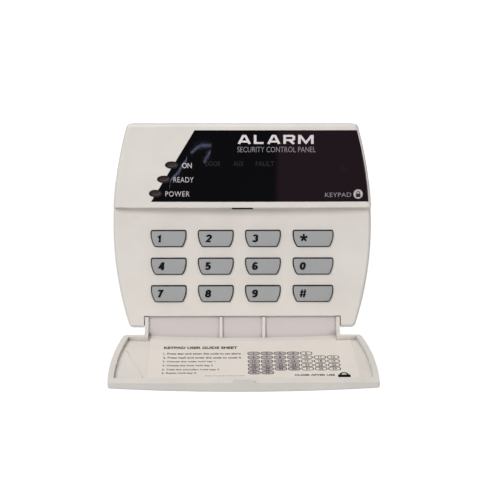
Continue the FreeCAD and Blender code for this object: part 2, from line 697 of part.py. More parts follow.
def open_flap():
    """The ribbed flap between the tray and the hinge, as it hangs when the door is open."""
    reach = swing(slab_behind_crown(0.0), OPEN_ANGLE)
    low_z = HINGE_Z - FLAP_DROP
    sheet = block(-FLAP_HALF_WIDTH, FLAP_HALF_WIDTH, FLAP_FRONT_Y, FLAP_FRONT_Y + FLAP_THICKNESS,
                  low_z, HEEL_TOP_Z)
    ribs = []
    for x0, x1 in flap_rib_places():
        ribs.append(block(x0, x1, FLAP_FRONT_Y - RIB_DEPTH, FLAP_FRONT_Y + OVERLAP, low_z, RIB_TOP_Z))
    flap = sheet.fuse(ribs).common(reach)
    root_x = FLAP_HALF_WIDTH - PIN_ROOT
    pins = [cross_rod(PIN_RADIUS, root_x, PIN_END_X), cross_rod(PIN_RADIUS, -PIN_END_X, -root_x)]
    return flap.fuse(pins)


def door():
    return swing(closed_tray(), OPEN_ANGLE).fuse(open_flap()).removeSplitter()


def door_label():
    """The printed sheet on the tray's floor, a little wider at its far edge."""
    corners = [
        Vector(LABEL_LEFT_X, 0, LABEL_BOTTOM_Z),
        Vector(LABEL_RIGHT_BOTTOM_X, 0, LABEL_BOTTOM_Z),
        Vector(LABEL_RIGHT_TOP_X, 0, LABEL_TOP_Z),
        Vector(LABEL_LEFT_X, 0, LABEL_TOP_Z),
    ]
    sheet = prism(Part.makePolygon(corners + corners[:1]), CROWN_Y, DOOR_RIM_Y)
    sheet = sheet.common(tray_hollow(LABEL_EDGE_GAP)).common(slab_behind_crown(DOOR_FLOOR + LABEL_GAP))
    sheet = sheet.cut(slab_behind_crown(DOOR_FLOOR + LABEL_GAP + LABEL_THICKNESS))
    return swing(sheet, OPEN_ANGLE)


# ---- keys ---------------------------------------------------------------------------------------
def key_cap(left_x, top_z, width):
    """A silicone key: a crowned top, a flange that stops it behind the housing, and a foot."""
    middle_x = left_x + width / 2
    middle_z = top_z - KEY_HEIGHT / 2
    top = prism(key_wire(left_x, top_z, width, 0.0), KEY_FRONT_Y - PAST, KEY_FLANGE_BACK_Y)
    crown = Part.makeCylinder(KEY_CROWN_RADIUS, 2 * width,
                              Vector(middle_x - width, KEY_FRONT_Y + KEY_CROWN_RADIUS, middle_z),
                              Vector(1, 0, 0))
    top = top.common(crown).removeSplitter()
    face = min(top.Faces, key=lambda item: item.CenterOfMass.y)
    top = top.makeFillet(KEY_EDGE_ROUND, face.Edges)
    flange = prism(key_wire(left_x, top_z, width, KEY_FLANGE_MARGIN), KEY_FLANGE_FRONT_Y, KEY_FLANGE_BACK_Y)
    foot = prism(key_wire(left_x, top_z, width, -KEY_GAP), KEY_FLANGE_BACK_Y - OVERLAP, KEY_BACK_Y)
    pocket = rounded_block(middle_x + LAMP_POCKET_START_X, middle_x + width / 2 - LAMP_POCKET_END_MARGIN,
                           KEY_BACK_Y - LAMP_POCKET_DEPTH, KEY_BACK_Y + PAST,
                           middle_z - LAMP_POCKET_HALF_HEIGHT, middle_z + LAMP_POCKET_HALF_HEIGHT,
                           LAMP_POCKET_ROUND)
    return top.fuse([flange, foot]).removeSplitter().cut(pocket)


def contact_centre(left_x, top_z, width):
    """Where a key's carbon contact meets the board."""
    return left_x + width / 2 + PILL_SHIFT_X, top_z - KEY_HEIGHT / 2


def key_contact(left_x, top_z, width):
    """The carbon pill under a key."""
    x, z = contact_centre(left_x, top_z, width)
    return rod(PILL_RADIUS, x, z, KEY_BACK_Y, KEY_BACK_Y + PILL_THICKNESS)


def keypad_mat():
    sheet = rounded_block(-MAT_HALF_WIDTH, MAT_HALF_WIDTH, MAT_FRONT_Y, MAT_BACK_Y,
                          MAT_BOTTOM_Z, MAT_TOP_Z, MAT_CORNER_RADIUS)
    grow = KEY_FLANGE_MARGIN + MAT_KEY_GAP
    cuts = []
    for _, left_x, top_z, width in key_places():
        cuts.append(prism(key_wire(left_x, top_z, width, grow), MAT_FRONT_Y - PAST, MAT_BACK_Y + PAST))
    for x, z in BOSS_CENTRES:
        cuts.append(rod(BOSS_RADIUS + MAT_BOSS_GAP, x, z, MAT_FRONT_Y - PAST, MAT_BACK_Y + PAST))
    return sheet.cut(cuts)


# ---- indicators ---------------------------------------------------------------------------------
def indicator_bezels():
    """A short oval collar round each status indicator."""
    collars = []
    front = slab_behind_crown(-BEZEL_PROUD).cut(slab_behind_crown(BEZEL_DEPTH))
    for x, z in INDICATOR_CENTRES.values():
        outer = oval(x, z, 0.0, CROWN_Y - PAST, KEY_FIELD_Y)
        inner = oval(x, z, -BEZEL_WALL, CROWN_Y - 2 * PAST, KEY_FIELD_Y + PAST)
        collars.append(outer.cut(inner).common(front))
    return Part.makeCompound(collars)


def light_pipe(x, z):
    """The tinted window of one status indicator, which carries light from the board."""
    front_y = crown_surface_y(x)
    pipe = oval(x, z, -BEZEL_WALL - PIPE_GAP, CROWN_Y - PAST, BOARD_FRONT_Y - PIPE_BOARD_GAP)
    dome = Part.makeSphere(PIPE_DOME_RADIUS, Vector(x, front_y + PIPE_DOME_RADIUS + PIPE_DOME_DEPTH, z))
    body = pipe.common(block(-FAR, FAR, front_y + PIPE_SHOULDER_DEPTH, FAR, -FAR, FAR))
    return pipe.common(dome).fuse(body).removeSplitter()


def lamps(places):
    """Small surface-mount lamps on the front of the board."""
    chips = []
    for x, z in places:
        chips.append(block(x - LAMP_HALF_WIDTH, x + LAMP_HALF_WIDTH,
                           BOARD_FRONT_Y - LAMP_THICKNESS, BOARD_FRONT_Y,
                           z - LAMP_HALF_HEIGHT, z + LAMP_HALF_HEIGHT))
    return Part.makeCompound(chips)


def light_shield():
    """The black box between the board and the lens that keeps the zone lamps apart."""
    outer = block(-SHIELD_HALF_WIDTH, SHIELD_HALF_WIDTH, SHIELD_FRONT_Y, BOARD_FRONT_Y - OVERLAP,
                  SHIELD_BOTTOM_Z, SHIELD_TOP_Z)
    cuts = []
    for x in ZONE_XS:
        cuts.append(block(x - ZONE_CELL_HALF_WIDTH, x + ZONE_CELL_HALF_WIDTH,
                          SHIELD_FRONT_Y - PAST, BOARD_FRONT_Y + PAST,
                          ZONE_Z - ZONE_CELL_HALF_HEIGHT, ZONE_Z + ZONE_CELL_HALF_HEIGHT))
    cuts.append(block(-SHIELD_HALF_WIDTH + SHIELD_WALL, SHIELD_HALF_WIDTH - SHIELD_WALL,
                      SHIELD_FRONT_Y + SHIELD_FACE, BOARD_FRONT_Y + PAST,
                      SHIELD_BOTTOM_Z + SHIELD_WALL, ZONE_Z - ZONE_CELL_HALF_HEIGHT - SHIELD_WALL))
    return outer.cut(cuts)


def legend_film():
    """The printed film that lies between the lens and the light shield."""
    back_y = SHIELD_FRONT_Y - FILM_GAP
    return block(-SHIELD_HALF_WIDTH, SHIELD_HALF_WIDTH, back_y - FILM_THICKNESS, back_y,
                 SHIELD_BOTTOM_Z, SHIELD_TOP_Z)


# ---- circuit board ------------------------------------------------------------------------------
def circuit_board():
    board = rounded_block(-BOARD_HALF_WIDTH, BOARD_HALF_WIDTH, BOARD_FRONT_Y, BOARD_BACK_Y,
                          BOARD_BOTTOM_Z, BOARD_TOP_Z, BOARD_CORNER_RADIUS)
    holes = []
    for x, z in BOSS_CENTRES:
        holes.append(rod(BOARD_HOLE_RADIUS, x, z, BOARD_FRONT_Y - PAST, BOARD_BACK_Y + PAST))
    return board.cut(holes)


def contact_pads():
    """A split round pad under every key."""
    pads = []
    half = PAD_SPLIT / 2
    for _, left_x, top_z, width in key_places():
        x, z = contact_centre(left_x, top_z, width)
        pad = rod(PAD_RADIUS, x, z, BOARD_FRONT_Y - PAD_THICKNESS, BOARD_FRONT_Y)
        split = block(x - half, x + half, BOARD_FRONT_Y - PAST, BOARD_FRONT_Y + PAST,
                      z - PAD_RADIUS - PAST, z + PAD_RADIUS + PAST)
        pads.extend(pad.cut(split).Solids)
    return Part.makeCompound(pads)


def key_backlights():
    chips = []
    for _, left_x, top_z, width in key_places():
        x = left_x + width / 2 + KEY_LAMP_SHIFT_X
        z = top_z - KEY_HEIGHT / 2
        chips.append(block(x - KEY_LAMP_HALF_WIDTH, x + KEY_LAMP_HALF_WIDTH,
                           BOARD_FRONT_Y - KEY_LAMP_THICKNESS, BOARD_FRONT_Y,
                           z - KEY_LAMP_HALF_HEIGHT, z + KEY_LAMP_HALF_HEIGHT))
    return Part.makeCompound(chips)


def board_screws():
    screws = []
    top_y = BOARD_BACK_Y + BOARD_SCREW_HEAD_HEIGHT
    for x, z in BOSS_CENTRES:
        head = rod(BOARD_SCREW_HEAD_RADIUS, x, z, BOARD_BACK_Y, top_y)
        shank = rod(BOARD_SCREW_RADIUS, x, z, BOARD_BACK_Y - BOARD_SCREW_LENGTH, BOARD_BACK_Y + OVERLAP)
        slots = cross_slots(x, z, CROSS_SLOT_HALF_WIDTH, CROSS_SLOT_HALF_LENGTH,
                            top_y - CROSS_SLOT_DEPTH, top_y + PAST)
        screws.append(head.fuse(shank).cut(slots).removeSplitter())
    return Part.makeCompound(screws)


def chip_package(x, z, width, height, thickness, legs_per_side):
    """A surface-mount chip with gull-wing legs along its two long sides."""
    top_y = BOARD_BACK_Y + thickness
    body = block(x - width / 2, x + width / 2, BOARD_BACK_Y + CHIP_LIFT, top_y,
                 z - height / 2, z + height / 2)
    rim = [edge for edge in body.Edges if edge.CenterOfMass.y > top_y - 0.01]
    body = body.makeChamfer(CHIP_CHAMFER, rim)
    dimple = rod(CHIP_DIMPLE_RADIUS, x - width / 2 + CHIP_DIMPLE_INSET, z + height / 2 - CHIP_DIMPLE_INSET,
                 top_y - CHIP_LIFT, top_y + PAST)
    body = body.cut(dimple)
    pitch = (width - 1.0) / legs_per_side
    legs = []
    for index in range(legs_per_side):
        leg_x = x + pitch * (index + 0.5 - legs_per_side / 2)
        for side in (-1, 1):
            edge_z = z + side * height / 2
            z0, z1 = sorted((edge_z - side * OVERLAP, edge_z + side * CHIP_LEG_REACH))
            legs.append(block(leg_x - CHIP_LEG_HALF_WIDTH, leg_x + CHIP_LEG_HALF_WIDTH,
                              BOARD_BACK_Y, BOARD_BACK_Y + CHIP_LEG_THICKNESS, z0, z1))
    return body.fuse(legs).removeSplitter()


def buzzer():
    top_y = BOARD_BACK_Y + BUZZER_HEIGHT
    can = rod(BUZZER_RADIUS, BUZZER_X, BUZZER_Z, BOARD_BACK_Y, top_y)
    can = can.makeFillet(BUZZER_ROUND, end_circle(can, top_y))
    return can.cut(rod(BUZZER_HOLE_RADIUS, BUZZER_X, BUZZER_Z, top_y - BUZZER_HOLE_DEPTH, top_y + PAST))


def terminal_xs():
    start = -TERMINAL_PITCH * (TERMINAL_COUNT - 1) / 2
    return [start + TERMINAL_PITCH * index for index in range(TERMINAL_COUNT)]


def terminal_block():
    """A screw terminal strip whose wires come in from above."""
    half = TERMINAL_COUNT * TERMINAL_PITCH / 2
    top_y = BOARD_BACK_Y + TERMINAL_DEPTH
    body = block(-half, half, BOARD_BACK_Y, top_y,
                 TERMINAL_Z - TERMINAL_HEIGHT / 2, TERMINAL_Z + TERMINAL_HEIGHT / 2)
    long_edges = [edge for edge in body.Edges
                  if edge.CenterOfMass.y > top_y - 0.01 and abs(edge.CenterOfMass.x) < 1]
    body = body.makeChamfer(TERMINAL_CHAMFER, long_edges)
    cuts = []
    for x in terminal_xs():
        cuts.append(rod(TERMINAL_WELL_RADIUS, x, TERMINAL_Z, top_y - TERMINAL_WELL_DEPTH, top_y + PAST))
        cuts.append(block(x - WIRE_HOLE_HALF_WIDTH, x + WIRE_HOLE_HALF_WIDTH,
                          top_y - WIRE_HOLE_TOP - WIRE_HOLE_HEIGHT, top_y - WIRE_HOLE_TOP,
                          TERMINAL_Z, TERMINAL_Z + TERMINAL_HEIGHT))
    return body.cut(cuts)


def terminal_screws():
    screws = []
    well_y = BOARD_BACK_Y + TERMINAL_DEPTH - TERMINAL_WELL_DEPTH
    head_y = BOARD_BACK_Y + TERMINAL_DEPTH - TERMINAL_SCREW_DROP
    for x in terminal_xs():
        screw = rod(TERMINAL_SCREW_RADIUS, x, TERMINAL_Z, well_y, head_y)
        slot = block(x - TERMINAL_WELL_RADIUS, x + TERMINAL_WELL_RADIUS,
                     head_y - CROSS_SLOT_DEPTH, head_y + PAST,
                     TERMINAL_Z - CROSS_SLOT_HALF_WIDTH, TERMINAL_Z + CROSS_SLOT_HALF_WIDTH)
        screws.append(screw.cut(slot))
    return Part.makeCompound(screws)


def capacitors():
    """Standing cans with the rolled groove near their base."""
    cans = []
    for x, z, radius, height in CAPACITOR_SIZES:
        top_y = BOARD_BACK_Y + height
        can = rod(radius, x, z, BOARD_BACK_Y, top_y)
        can = can.makeFillet(CAPACITOR_ROUND, end_circle(can, top_y))
        groove = rod(radius + PAST, x, z,
                     BOARD_BACK_Y + CAPACITOR_GROOVE_LOW, BOARD_BACK_Y + CAPACITOR_GROOVE_HIGH)
        core = rod(radius - CAPACITOR_GROOVE_DEPTH, x, z, BOARD_BACK_Y, top_y)
        cans.append(can.cut(groove.cut(core)))
    return Part.makeCompound(cans)


def resistors():
    half_width, half_height = RESISTOR_HALF_SIZE
    parts = []
    for column in range(RESISTOR_COLUMNS):
        for row in range(RESISTOR_ROWS):
            x = RESISTOR_START[0] + RESISTOR_STEP[0] * column
            z = RESISTOR_START[1] + RESISTOR_STEP[1] * row
            parts.append(block(x - half_width, x + half_width,
                               BOARD_BACK_Y, BOARD_BACK_Y + RESISTOR_THICKNESS,
                               z - half_height, z + half_height))
    return Part.makeCompound(parts)


def voltage_regulator():
    """A small three-legged regulator with its cooling tab."""
    x, z = REGULATOR_CENTRE
    body = block(x - 3.3, x + 3.3, BOARD_BACK_Y + OVERLAP, BOARD_BACK_Y + 1.7, z - 1.8, z + 1.8)
    tab = block(x - 1.6, x + 1.6, BOARD_BACK_Y, BOARD_BACK_Y + 0.4, z + 1.6, z + 3.6)
    legs = []
    for step in REGULATOR_LEG_XS:
        legs.append(block(x + step - 0.4, x + step + 0.4,
                          BOARD_BACK_Y, BOARD_BACK_Y + 0.4, z - 3.4, z - 1.6))
    return fuse_all([body, tab] + legs)


def crystal():
    x, z = CRYSTAL_CENTRE
    solids = []
    for grow, thickness in ((0.0, CRYSTAL_THICKNESS), (CRYSTAL_FLANGE, CRYSTAL_FLANGE_THICKNESS)):
        half_width = CRYSTAL_HALF_WIDTH + grow
        half_height = CRYSTAL_HALF_HEIGHT + grow
        solids.append(rounded_block(x - half_width, x + half_width, BOARD_BACK_Y, BOARD_BACK_Y + thickness,
                                    z - half_height, z + half_height, half_height - OVERLAP))
    return fuse_all(solids)


def pin_header():
    """Programming header: a plastic strip with square pins."""
    half = HEADER_PITCH / 2
    strip = block(HEADER_X - half, HEADER_X + half, BOARD_BACK_Y, BOARD_BACK_Y + HEADER_STRIP_HEIGHT,
                  HEADER_START_Z - half, HEADER_START_Z + HEADER_PITCH * (HEADER_COUNT - 0.5))
    pins = []
    for index in range(HEADER_COUNT):
        z = HEADER_START_Z + HEADER_PITCH * index
        pins.append(block(HEADER_X - HEADER_PIN_HALF, HEADER_X + HEADER_PIN_HALF,
                          BOARD_BACK_Y + HEADER_STRIP_HEIGHT - OVERLAP, BOARD_BACK_Y + HEADER_PIN_HEIGHT,
                          z - HEADER_PIN_HALF, z + HEADER_PIN_HALF))
    return strip.fuse(pins)


# ---- tamper switch ------------------------------------------------------------------------------
def tamper_switch():
    half = TAMPER_BODY_WIDTH / 2
    body = rounded_block(TAMPER_X - half, TAMPER_X + half, BOARD_BACK_Y, TAMPER_BODY_BACK_Y,
                         TAMPER_Z - half, TAMPER_Z + half, TAMPER_BODY_ROUND)
    return body.cut(rod(PLUNGER_BORE_RADIUS, TAMPER_X, TAMPER_Z, BOARD_BACK_Y + TAMPER_FLOOR,
                        TAMPER_BODY_BACK_Y + PAST))


def tamper_plunger():
    """The pin that rests on the wall, with the collar its spring pushes on."""
    shaft = rod(PLUNGER_RADIUS, TAMPER_X, TAMPER_Z, PLUNGER_INNER_Y, WALL_FACE_Y)
    shaft = shaft.makeFillet(PLUNGER_TIP_ROUND, end_circle(shaft, WALL_FACE_Y))
    collar = rod(PLUNGER_CAP_RADIUS, TAMPER_X, TAMPER_Z,
                 PLUNGER_CAP_BACK_Y - PLUNGER_CAP_THICKNESS, PLUNGER_CAP_BACK_Y)
    return shaft.fuse(collar).removeSplitter()


def tamper_spring():
    end_margin = SPRING_WIRE_RADIUS + SPRING_END_GAP
    start_y = TAMPER_BODY_BACK_Y + end_margin
    length = PLUNGER_CAP_BACK_Y - PLUNGER_CAP_THICKNESS - end_margin - start_y
    helix = Part.makeHelix(length / SPRING_TURNS, length, SPRING_RADIUS)
    profile = Part.Wire([Part.makeCircle(SPRING_WIRE_RADIUS, Vector(SPRING_RADIUS, 0, 0), Vector(0, 1, 0))])
    coil = Part.Wire(helix.Edges).makePipeShell([profile], True, True)
    coil.rotate(Vector(0, 0, 0), Vector(1, 0, 0), -90)
    coil.translate(Vector(TAMPER_X, start_y, TAMPER_Z))
    return coil


# ---- case screw ---------------------------------------------------------------------------------
def case_screw():
    """A screw that comes up from below, through the back plate and into the screw tab."""
    low_z = -HALF_HEIGHT - CASE_SCREW_HEAD_HEIGHT
    head = upright_rod(CASE_SCREW_HEAD_RADIUS, 0, CASE_SCREW_Y, low_z, -HALF_HEIGHT)
    shank = upright_rod(CASE_SCREW_RADIUS, 0, CASE_SCREW_Y,
                        -HALF_HEIGHT - OVERLAP, -HALF_HEIGHT + CASE_SCREW_LENGTH)
    wide = CASE_SCREW_SLOT_HALF_LENGTH
    narrow = CASE_SCREW_SLOT_HALF_WIDTH
    slots = []
    for half_x, half_y in ((wide, narrow), (narrow, wide)):
        slots.append(block(-half_x, half_x, CASE_SCREW_Y - half_y, CASE_SCREW_Y + half_y,
                           low_z - PAST, low_z + CASE_SCREW_SLOT_DEPTH))
    return head.fuse(shank).cut(slots).removeSplitter()


# ---- write every node ---------------------------------------------------------------------------
def all_nodes():
    hood = hood_outside()
    nodes = {
        "back_plate": back_plate(),
        "front_housing": front_housing(hood),
        "display_lens": display_lens(hood),
        "legend_film": legend_film(),
        "light_shield": light_shield(),
        "zone_leds": lamps([(x, ZONE_Z) for x in ZONE_XS]),
        "indicator_bezels": indicator_bezels(),
        "status_leds": lamps(INDICATOR_CENTRES.values()),
        "keypad_mat": keypad_mat(),
        "circuit_board": circuit_board(),
        "contact_pads": contact_pads(),
        "key_backlights": key_backlights(),
        "board_screws": board_screws(),
        "microcontroller": chip_package(-18.0, 8.0, 12.0, 12.0, 1.6, 11),
        "driver_chip": chip_package(22.0, -4.0, 10.3, 7.5, 2.3, 10),
        "buzzer": buzzer(),
        "terminal_block": terminal_block(),
        "terminal_screws": terminal_screws(),
        "capacitors": capacitors(),
        "resistors": resistors(),
        "voltage_regulator": voltage_regulator(),
        "crystal": crystal(),
        "pin_header": pin_header(),
        "tamper_switch": tamper_switch(),
        "tamper_spring": tamper_spring(),
        "tamper_plunger": tamper_plunger(),
        "case_screw": case_screw(),
        "door": door(),
        "door_label": door_label(),
    }
    for name, (x, z) in INDICATOR_CENTRES.items():
        nodes["light_pipe_" + name] = light_pipe(x, z)
    for name, left_x, top_z, width in key_places():
        nodes[name] = key_cap(left_x, top_z, width)
        nodes[name + "_contact"] = key_contact(left_x, top_z, width)
    return nodes


os.makedirs("parts", exist_ok=True)
for node_name, shape in all_nodes().items():
    shape.exportStep("parts/" + node_name + ".step")
    state = "valid" if shape.isValid() else "INVALID"
    print(node_name, len(shape.Solids), "solids", round(shape.Volume, 1), "mm3", state)
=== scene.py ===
import json
import math

import bmesh
import bpy
from mathutils import Matrix, Vector


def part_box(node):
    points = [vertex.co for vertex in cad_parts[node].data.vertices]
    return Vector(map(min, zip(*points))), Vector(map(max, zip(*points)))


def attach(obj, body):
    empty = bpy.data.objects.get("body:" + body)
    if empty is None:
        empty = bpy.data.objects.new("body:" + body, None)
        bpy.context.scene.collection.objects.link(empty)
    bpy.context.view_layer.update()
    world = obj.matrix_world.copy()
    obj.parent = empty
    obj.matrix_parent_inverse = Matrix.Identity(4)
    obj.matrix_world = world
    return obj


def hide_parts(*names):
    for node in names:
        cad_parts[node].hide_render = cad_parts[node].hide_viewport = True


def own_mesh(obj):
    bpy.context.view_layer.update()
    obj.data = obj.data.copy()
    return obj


# The visual model of a wall-mounted alarm keypad, in metres. X runs right, Y into the wall, Z up.
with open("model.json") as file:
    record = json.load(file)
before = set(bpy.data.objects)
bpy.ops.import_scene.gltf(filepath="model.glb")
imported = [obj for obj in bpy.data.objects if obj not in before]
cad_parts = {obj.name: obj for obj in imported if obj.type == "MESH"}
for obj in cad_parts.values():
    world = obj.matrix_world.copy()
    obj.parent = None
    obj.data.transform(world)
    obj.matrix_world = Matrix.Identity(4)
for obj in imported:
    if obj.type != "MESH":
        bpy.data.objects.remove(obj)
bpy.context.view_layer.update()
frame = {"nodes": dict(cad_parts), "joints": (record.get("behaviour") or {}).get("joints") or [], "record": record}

MM = 0.001

# ---- shapes that the CAD model gives ------------------------------------------------------------
CROWN_RADIUS = 1100.0 * MM
HOOD_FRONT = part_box("front_housing")[0].y
KEY_CROWN_RADIUS = 45.0 * MM
KEY_FLANGE = 1.0 * MM
DOOR_FLOOR = 1.6 * MM
LABEL_TOP_DEPTH = 1.79 * MM
LABEL_BOW = 1180.0 * MM
hinge = next(joint for joint in frame["joints"] if joint["name"] == "door_hinge")
HINGE = Vector(hinge["pos_m"])
OPEN_ANGLE = math.radians(hinge["range_deg"][1])
HINGE_DEPTH = 2.9 * MM
KEY_FIELD = HINGE.y - HINGE_DEPTH
FLAP_FRONT = HINGE.y - 0.9 * MM
FLOAT_GAP = 0.02 * MM


def crown_y(x, depth=0.0):
    """The hood's crowned face, or the door's when shut, at a place across it."""
    radius = CROWN_RADIUS - depth
    return HOOD_FRONT + CROWN_RADIUS - math.sqrt(radius * radius - x * x)


def on_hood(x, z, lift):
    """A point on the front of the hood and its lens."""
    return Vector((x, crown_y(x) - lift, z))


def swung(point):
    """Where a point of the shut door comes to when the door hangs open."""
    return HINGE + Matrix.Rotation(OPEN_ANGLE, 4, "X") @ (point - HINGE)


def on_label(x, rise, lift):
    """A point on the door's label: rise is the way up the print, from the door's free edge to its hinge."""
    return swung(Vector((x, crown_y(x, LABEL_TOP_DEPTH) + lift, -rise + x * x / LABEL_BOW)))


def on_door_floor(x, rise, lift):
    """A point on the inner face of the door beside its label."""
    return swung(Vector((x, crown_y(x, DOOR_FLOOR) + lift, -rise)))


def key_top(name):
    """A key's crowned top, as a function of place, with its left edge and its middle height."""
    low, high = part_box(name)
    middle = (low.z + high.z) / 2

    def on_key(x, z, lift):
        drop = KEY_CROWN_RADIUS - math.sqrt(KEY_CROWN_RADIUS ** 2 - (z - middle) ** 2)
        return Vector((x, low.y + drop - lift, z))

    return on_key, low.x + KEY_FLANGE, middle


# ---- materials ----------------------------------------------------------------------------------
# The Y of a key's normal: on its face, and from where on its rounded edge counts as its side, which gets painted
# shade.
FACE_NORMAL_Y = -0.93
SIDE_NORMAL_Y = -0.8


def linear(red, green, blue):
    """An sRGB colour of 0 to 255 as a linear one."""
    def one(value):
        value = value / 255
        return value / 12.92 if value <= 0.04045 else ((value + 0.055) / 1.055) ** 2.4
    return (one(red), one(green), one(blue), 1.0)


materials = {}


def new_material(name):
    """Registers a new material under its name and gives its nodes and its shader."""
    material = bpy.data.materials.new(name)
    material.use_nodes = True
    materials[name] = material
    tree = material.node_tree
    return tree, tree.nodes["Principled BSDF"]


def add_noise(tree, scale, detail=3.0, roughness=0.55, stretch=(1.0, 1.0, 1.0), turn=0.0):
    """Noise in the object's own space, so that its grain keeps one real size."""
    where = tree.nodes.new("ShaderNodeTexCoord")
    placed = tree.nodes.new("ShaderNodeMapping")
    placed.inputs["Rotation"].default_value = (0.0, turn, 0.0)
    placed.inputs["Scale"].default_value = stretch
    tree.links.new(where.outputs["Object"], placed.inputs["Vector"])
    noise = tree.nodes.new("ShaderNodeTexNoise")
    noise.inputs["Scale"].default_value = scale
    noise.inputs["Detail"].default_value = detail
    noise.inputs["Roughness"].default_value = roughness
    tree.links.new(placed.outputs["Vector"], noise.inputs["Vector"])
    return noise.outputs["Fac"]


def add_range(tree, source, low, high, start=0.3, end=0.7):
    """Maps a value that runs from start to end onto low to high."""
    spread = tree.nodes.new("ShaderNodeMapRange")
    spread.inputs["From Min"].default_value = start
    spread.inputs["From Max"].default_value = end
    spread.inputs["To Min"].default_value = low
    spread.inputs["To Max"].default_value = high
    tree.links.new(source, spread.inputs["Value"])
    return spread.outputs["Result"]


def add_mix(tree, factor, colour_a, colour_b):
    """Goes from one colour to another; each is a constant or a socket."""
    mix = tree.nodes.new("ShaderNodeMix")
    mix.data_type = "RGBA"
    tree.links.new(factor, mix.inputs["Factor"])
    for socket, colour in ((mix.inputs[6], colour_a), (mix.inputs[7], colour_b)):
        if isinstance(colour, bpy.types.NodeSocket):
            tree.links.new(colour, socket)
        else:
            socket.default_value = colour
    return mix.outputs[2]


def add_place(tree, space, axis):
    """One coordinate of the surface, or of its normal, in the object's own space."""
    where = tree.nodes.new("ShaderNodeTexCoord")
    split = tree.nodes.new("ShaderNodeSeparateXYZ")
    tree.links.new(where.outputs[space], split.inputs["Vector"])
    return split.outputs[axis]


def add_bump(tree, shader, height, strength, distance):
    """Raises and sinks the surface's shading by a height."""
    bump = tree.nodes.new("ShaderNodeBump")
    bump.inputs["Strength"].default_value = strength
    bump.inputs["Distance"].default_value = distance
    tree.links.new(height, bump.inputs["Height"])
    tree.links.new(bump.outputs["Normal"], shader.inputs["Normal"])


def add_cavity(tree, colour, dark, reach):
    """Paints shade into a colour in narrow gaps and corners, darker where less light reaches."""
    nearby = tree.nodes.new("ShaderNodeAmbientOcclusion")
    nearby.samples = 6
    nearby.inputs["Distance"].default_value = reach
    factor = add_range(tree, nearby.outputs["AO"], 1.0, 0.0, 0.15, 0.75)
    return add_mix(tree, factor, colour, dark)


def add_sides(tree, colour, side_shade_colour):
    """Paints shade on the sides of a piece that faces forward, in a darker colour than its face."""
    factor = add_range(tree, add_place(tree, "Normal", "Y"), 0.0, 1.0, FACE_NORMAL_Y, SIDE_NORMAL_Y)
    return add_mix(tree, factor, colour, side_shade_colour)


def add_shade(tree, colour, dark, start, end):
    """Paints shade on what lies deeper than a place, where its neighbours keep the light off it."""
    factor = add_range(tree, add_place(tree, "Object", "Y"), 0.0, 1.0, start, end)
    return add_mix(tree, factor, colour, dark)


def add_wear(tree, base, marked):
    """Roughness with hairline rub marks running two ways."""
    first = add_noise(tree, 260.0, 2.0, stretch=(0.04, 1.0, 1.0), turn=0.5)
    second = add_noise(tree, 310.0, 2.0, stretch=(1.0, 1.0, 0.05), turn=0.3)
    both = tree.nodes.new("ShaderNodeMath")
    both.operation = "MAXIMUM"
    tree.links.new(first, both.inputs[0])
    tree.links.new(second, both.inputs[1])
    marks = add_range(tree, both.outputs["Value"], 0.0, marked, 0.64, 0.7)
    total = tree.nodes.new("ShaderNodeMath")
    total.operation = "ADD"
    tree.links.new(base, total.inputs[0])
    tree.links.new(marks, total.inputs[1])
    return total.outputs["Value"]


def scaled(colour, factor):
    """A lighter or darker form of a colour."""
    return (colour[0] * factor, colour[1] * factor, colour[2] * factor, 1.0)


def moulded(name, colour, rough=(0.38, 0.5), grain=2600.0, grain_depth=0.012 * MM, tone=0.06, specular=0.45,
            painted_corner_shade=None, reach=1.2 * MM, sides=None, shade=None):
    """Moulded plastic or rubber, or print on it: fine tool texture, slow tone and gloss changes, and painted shade
    on sides, in deep places, gaps and corners where asked.
    """
    tree, shader = new_material(name)
    cloud = add_noise(tree, 38.0, 4.0)
    factor = add_range(tree, cloud, 0.0, 1.0)
    shader_colour = add_mix(tree, factor, scaled(colour, 1 - tone), scaled(colour, 1 + tone * 0.4))
    if sides is not None:
        shader_colour = add_sides(tree, shader_colour, sides)
    if shade is not None:
        shader_colour = add_shade(tree, shader_colour, *shade)
    if painted_corner_shade is not None:
        shader_colour = add_cavity(tree, shader_colour, painted_corner_shade, reach)
    tree.links.new(shader_colour, shader.inputs["Base Color"])
    patches = add_noise(tree, 120.0, 5.0)
    gloss = add_wear(tree, add_range(tree, patches, rough[0], rough[1]), -0.12)
    tree.links.new(gloss, shader.inputs["Roughness"])
    shader.inputs["Specular IOR Level"].default_value = specular
    add_bump(tree, shader, add_noise(tree, grain, 2.0), 0.5, grain_depth)


def metal(name, colour, rough=(0.22, 0.4)):
    """Plated or turned metal with uneven gloss."""
    tree, shader = new_material(name)
    cloud = add_noise(tree, 300.0, 4.0)
    tree.links.new(add_mix(tree, cloud, scaled(colour, 0.8), colour), shader.inputs["Base Color"])
    gloss = add_range(tree, add_noise(tree, 900.0, 3.0), rough[0], rough[1])
    tree.links.new(gloss, shader.inputs["Roughness"])
    shader.inputs["Metallic"].default_value = 1.0
    add_bump(tree, shader, add_noise(tree, 2400.0, 2.0), 0.3, 0.006 * MM)


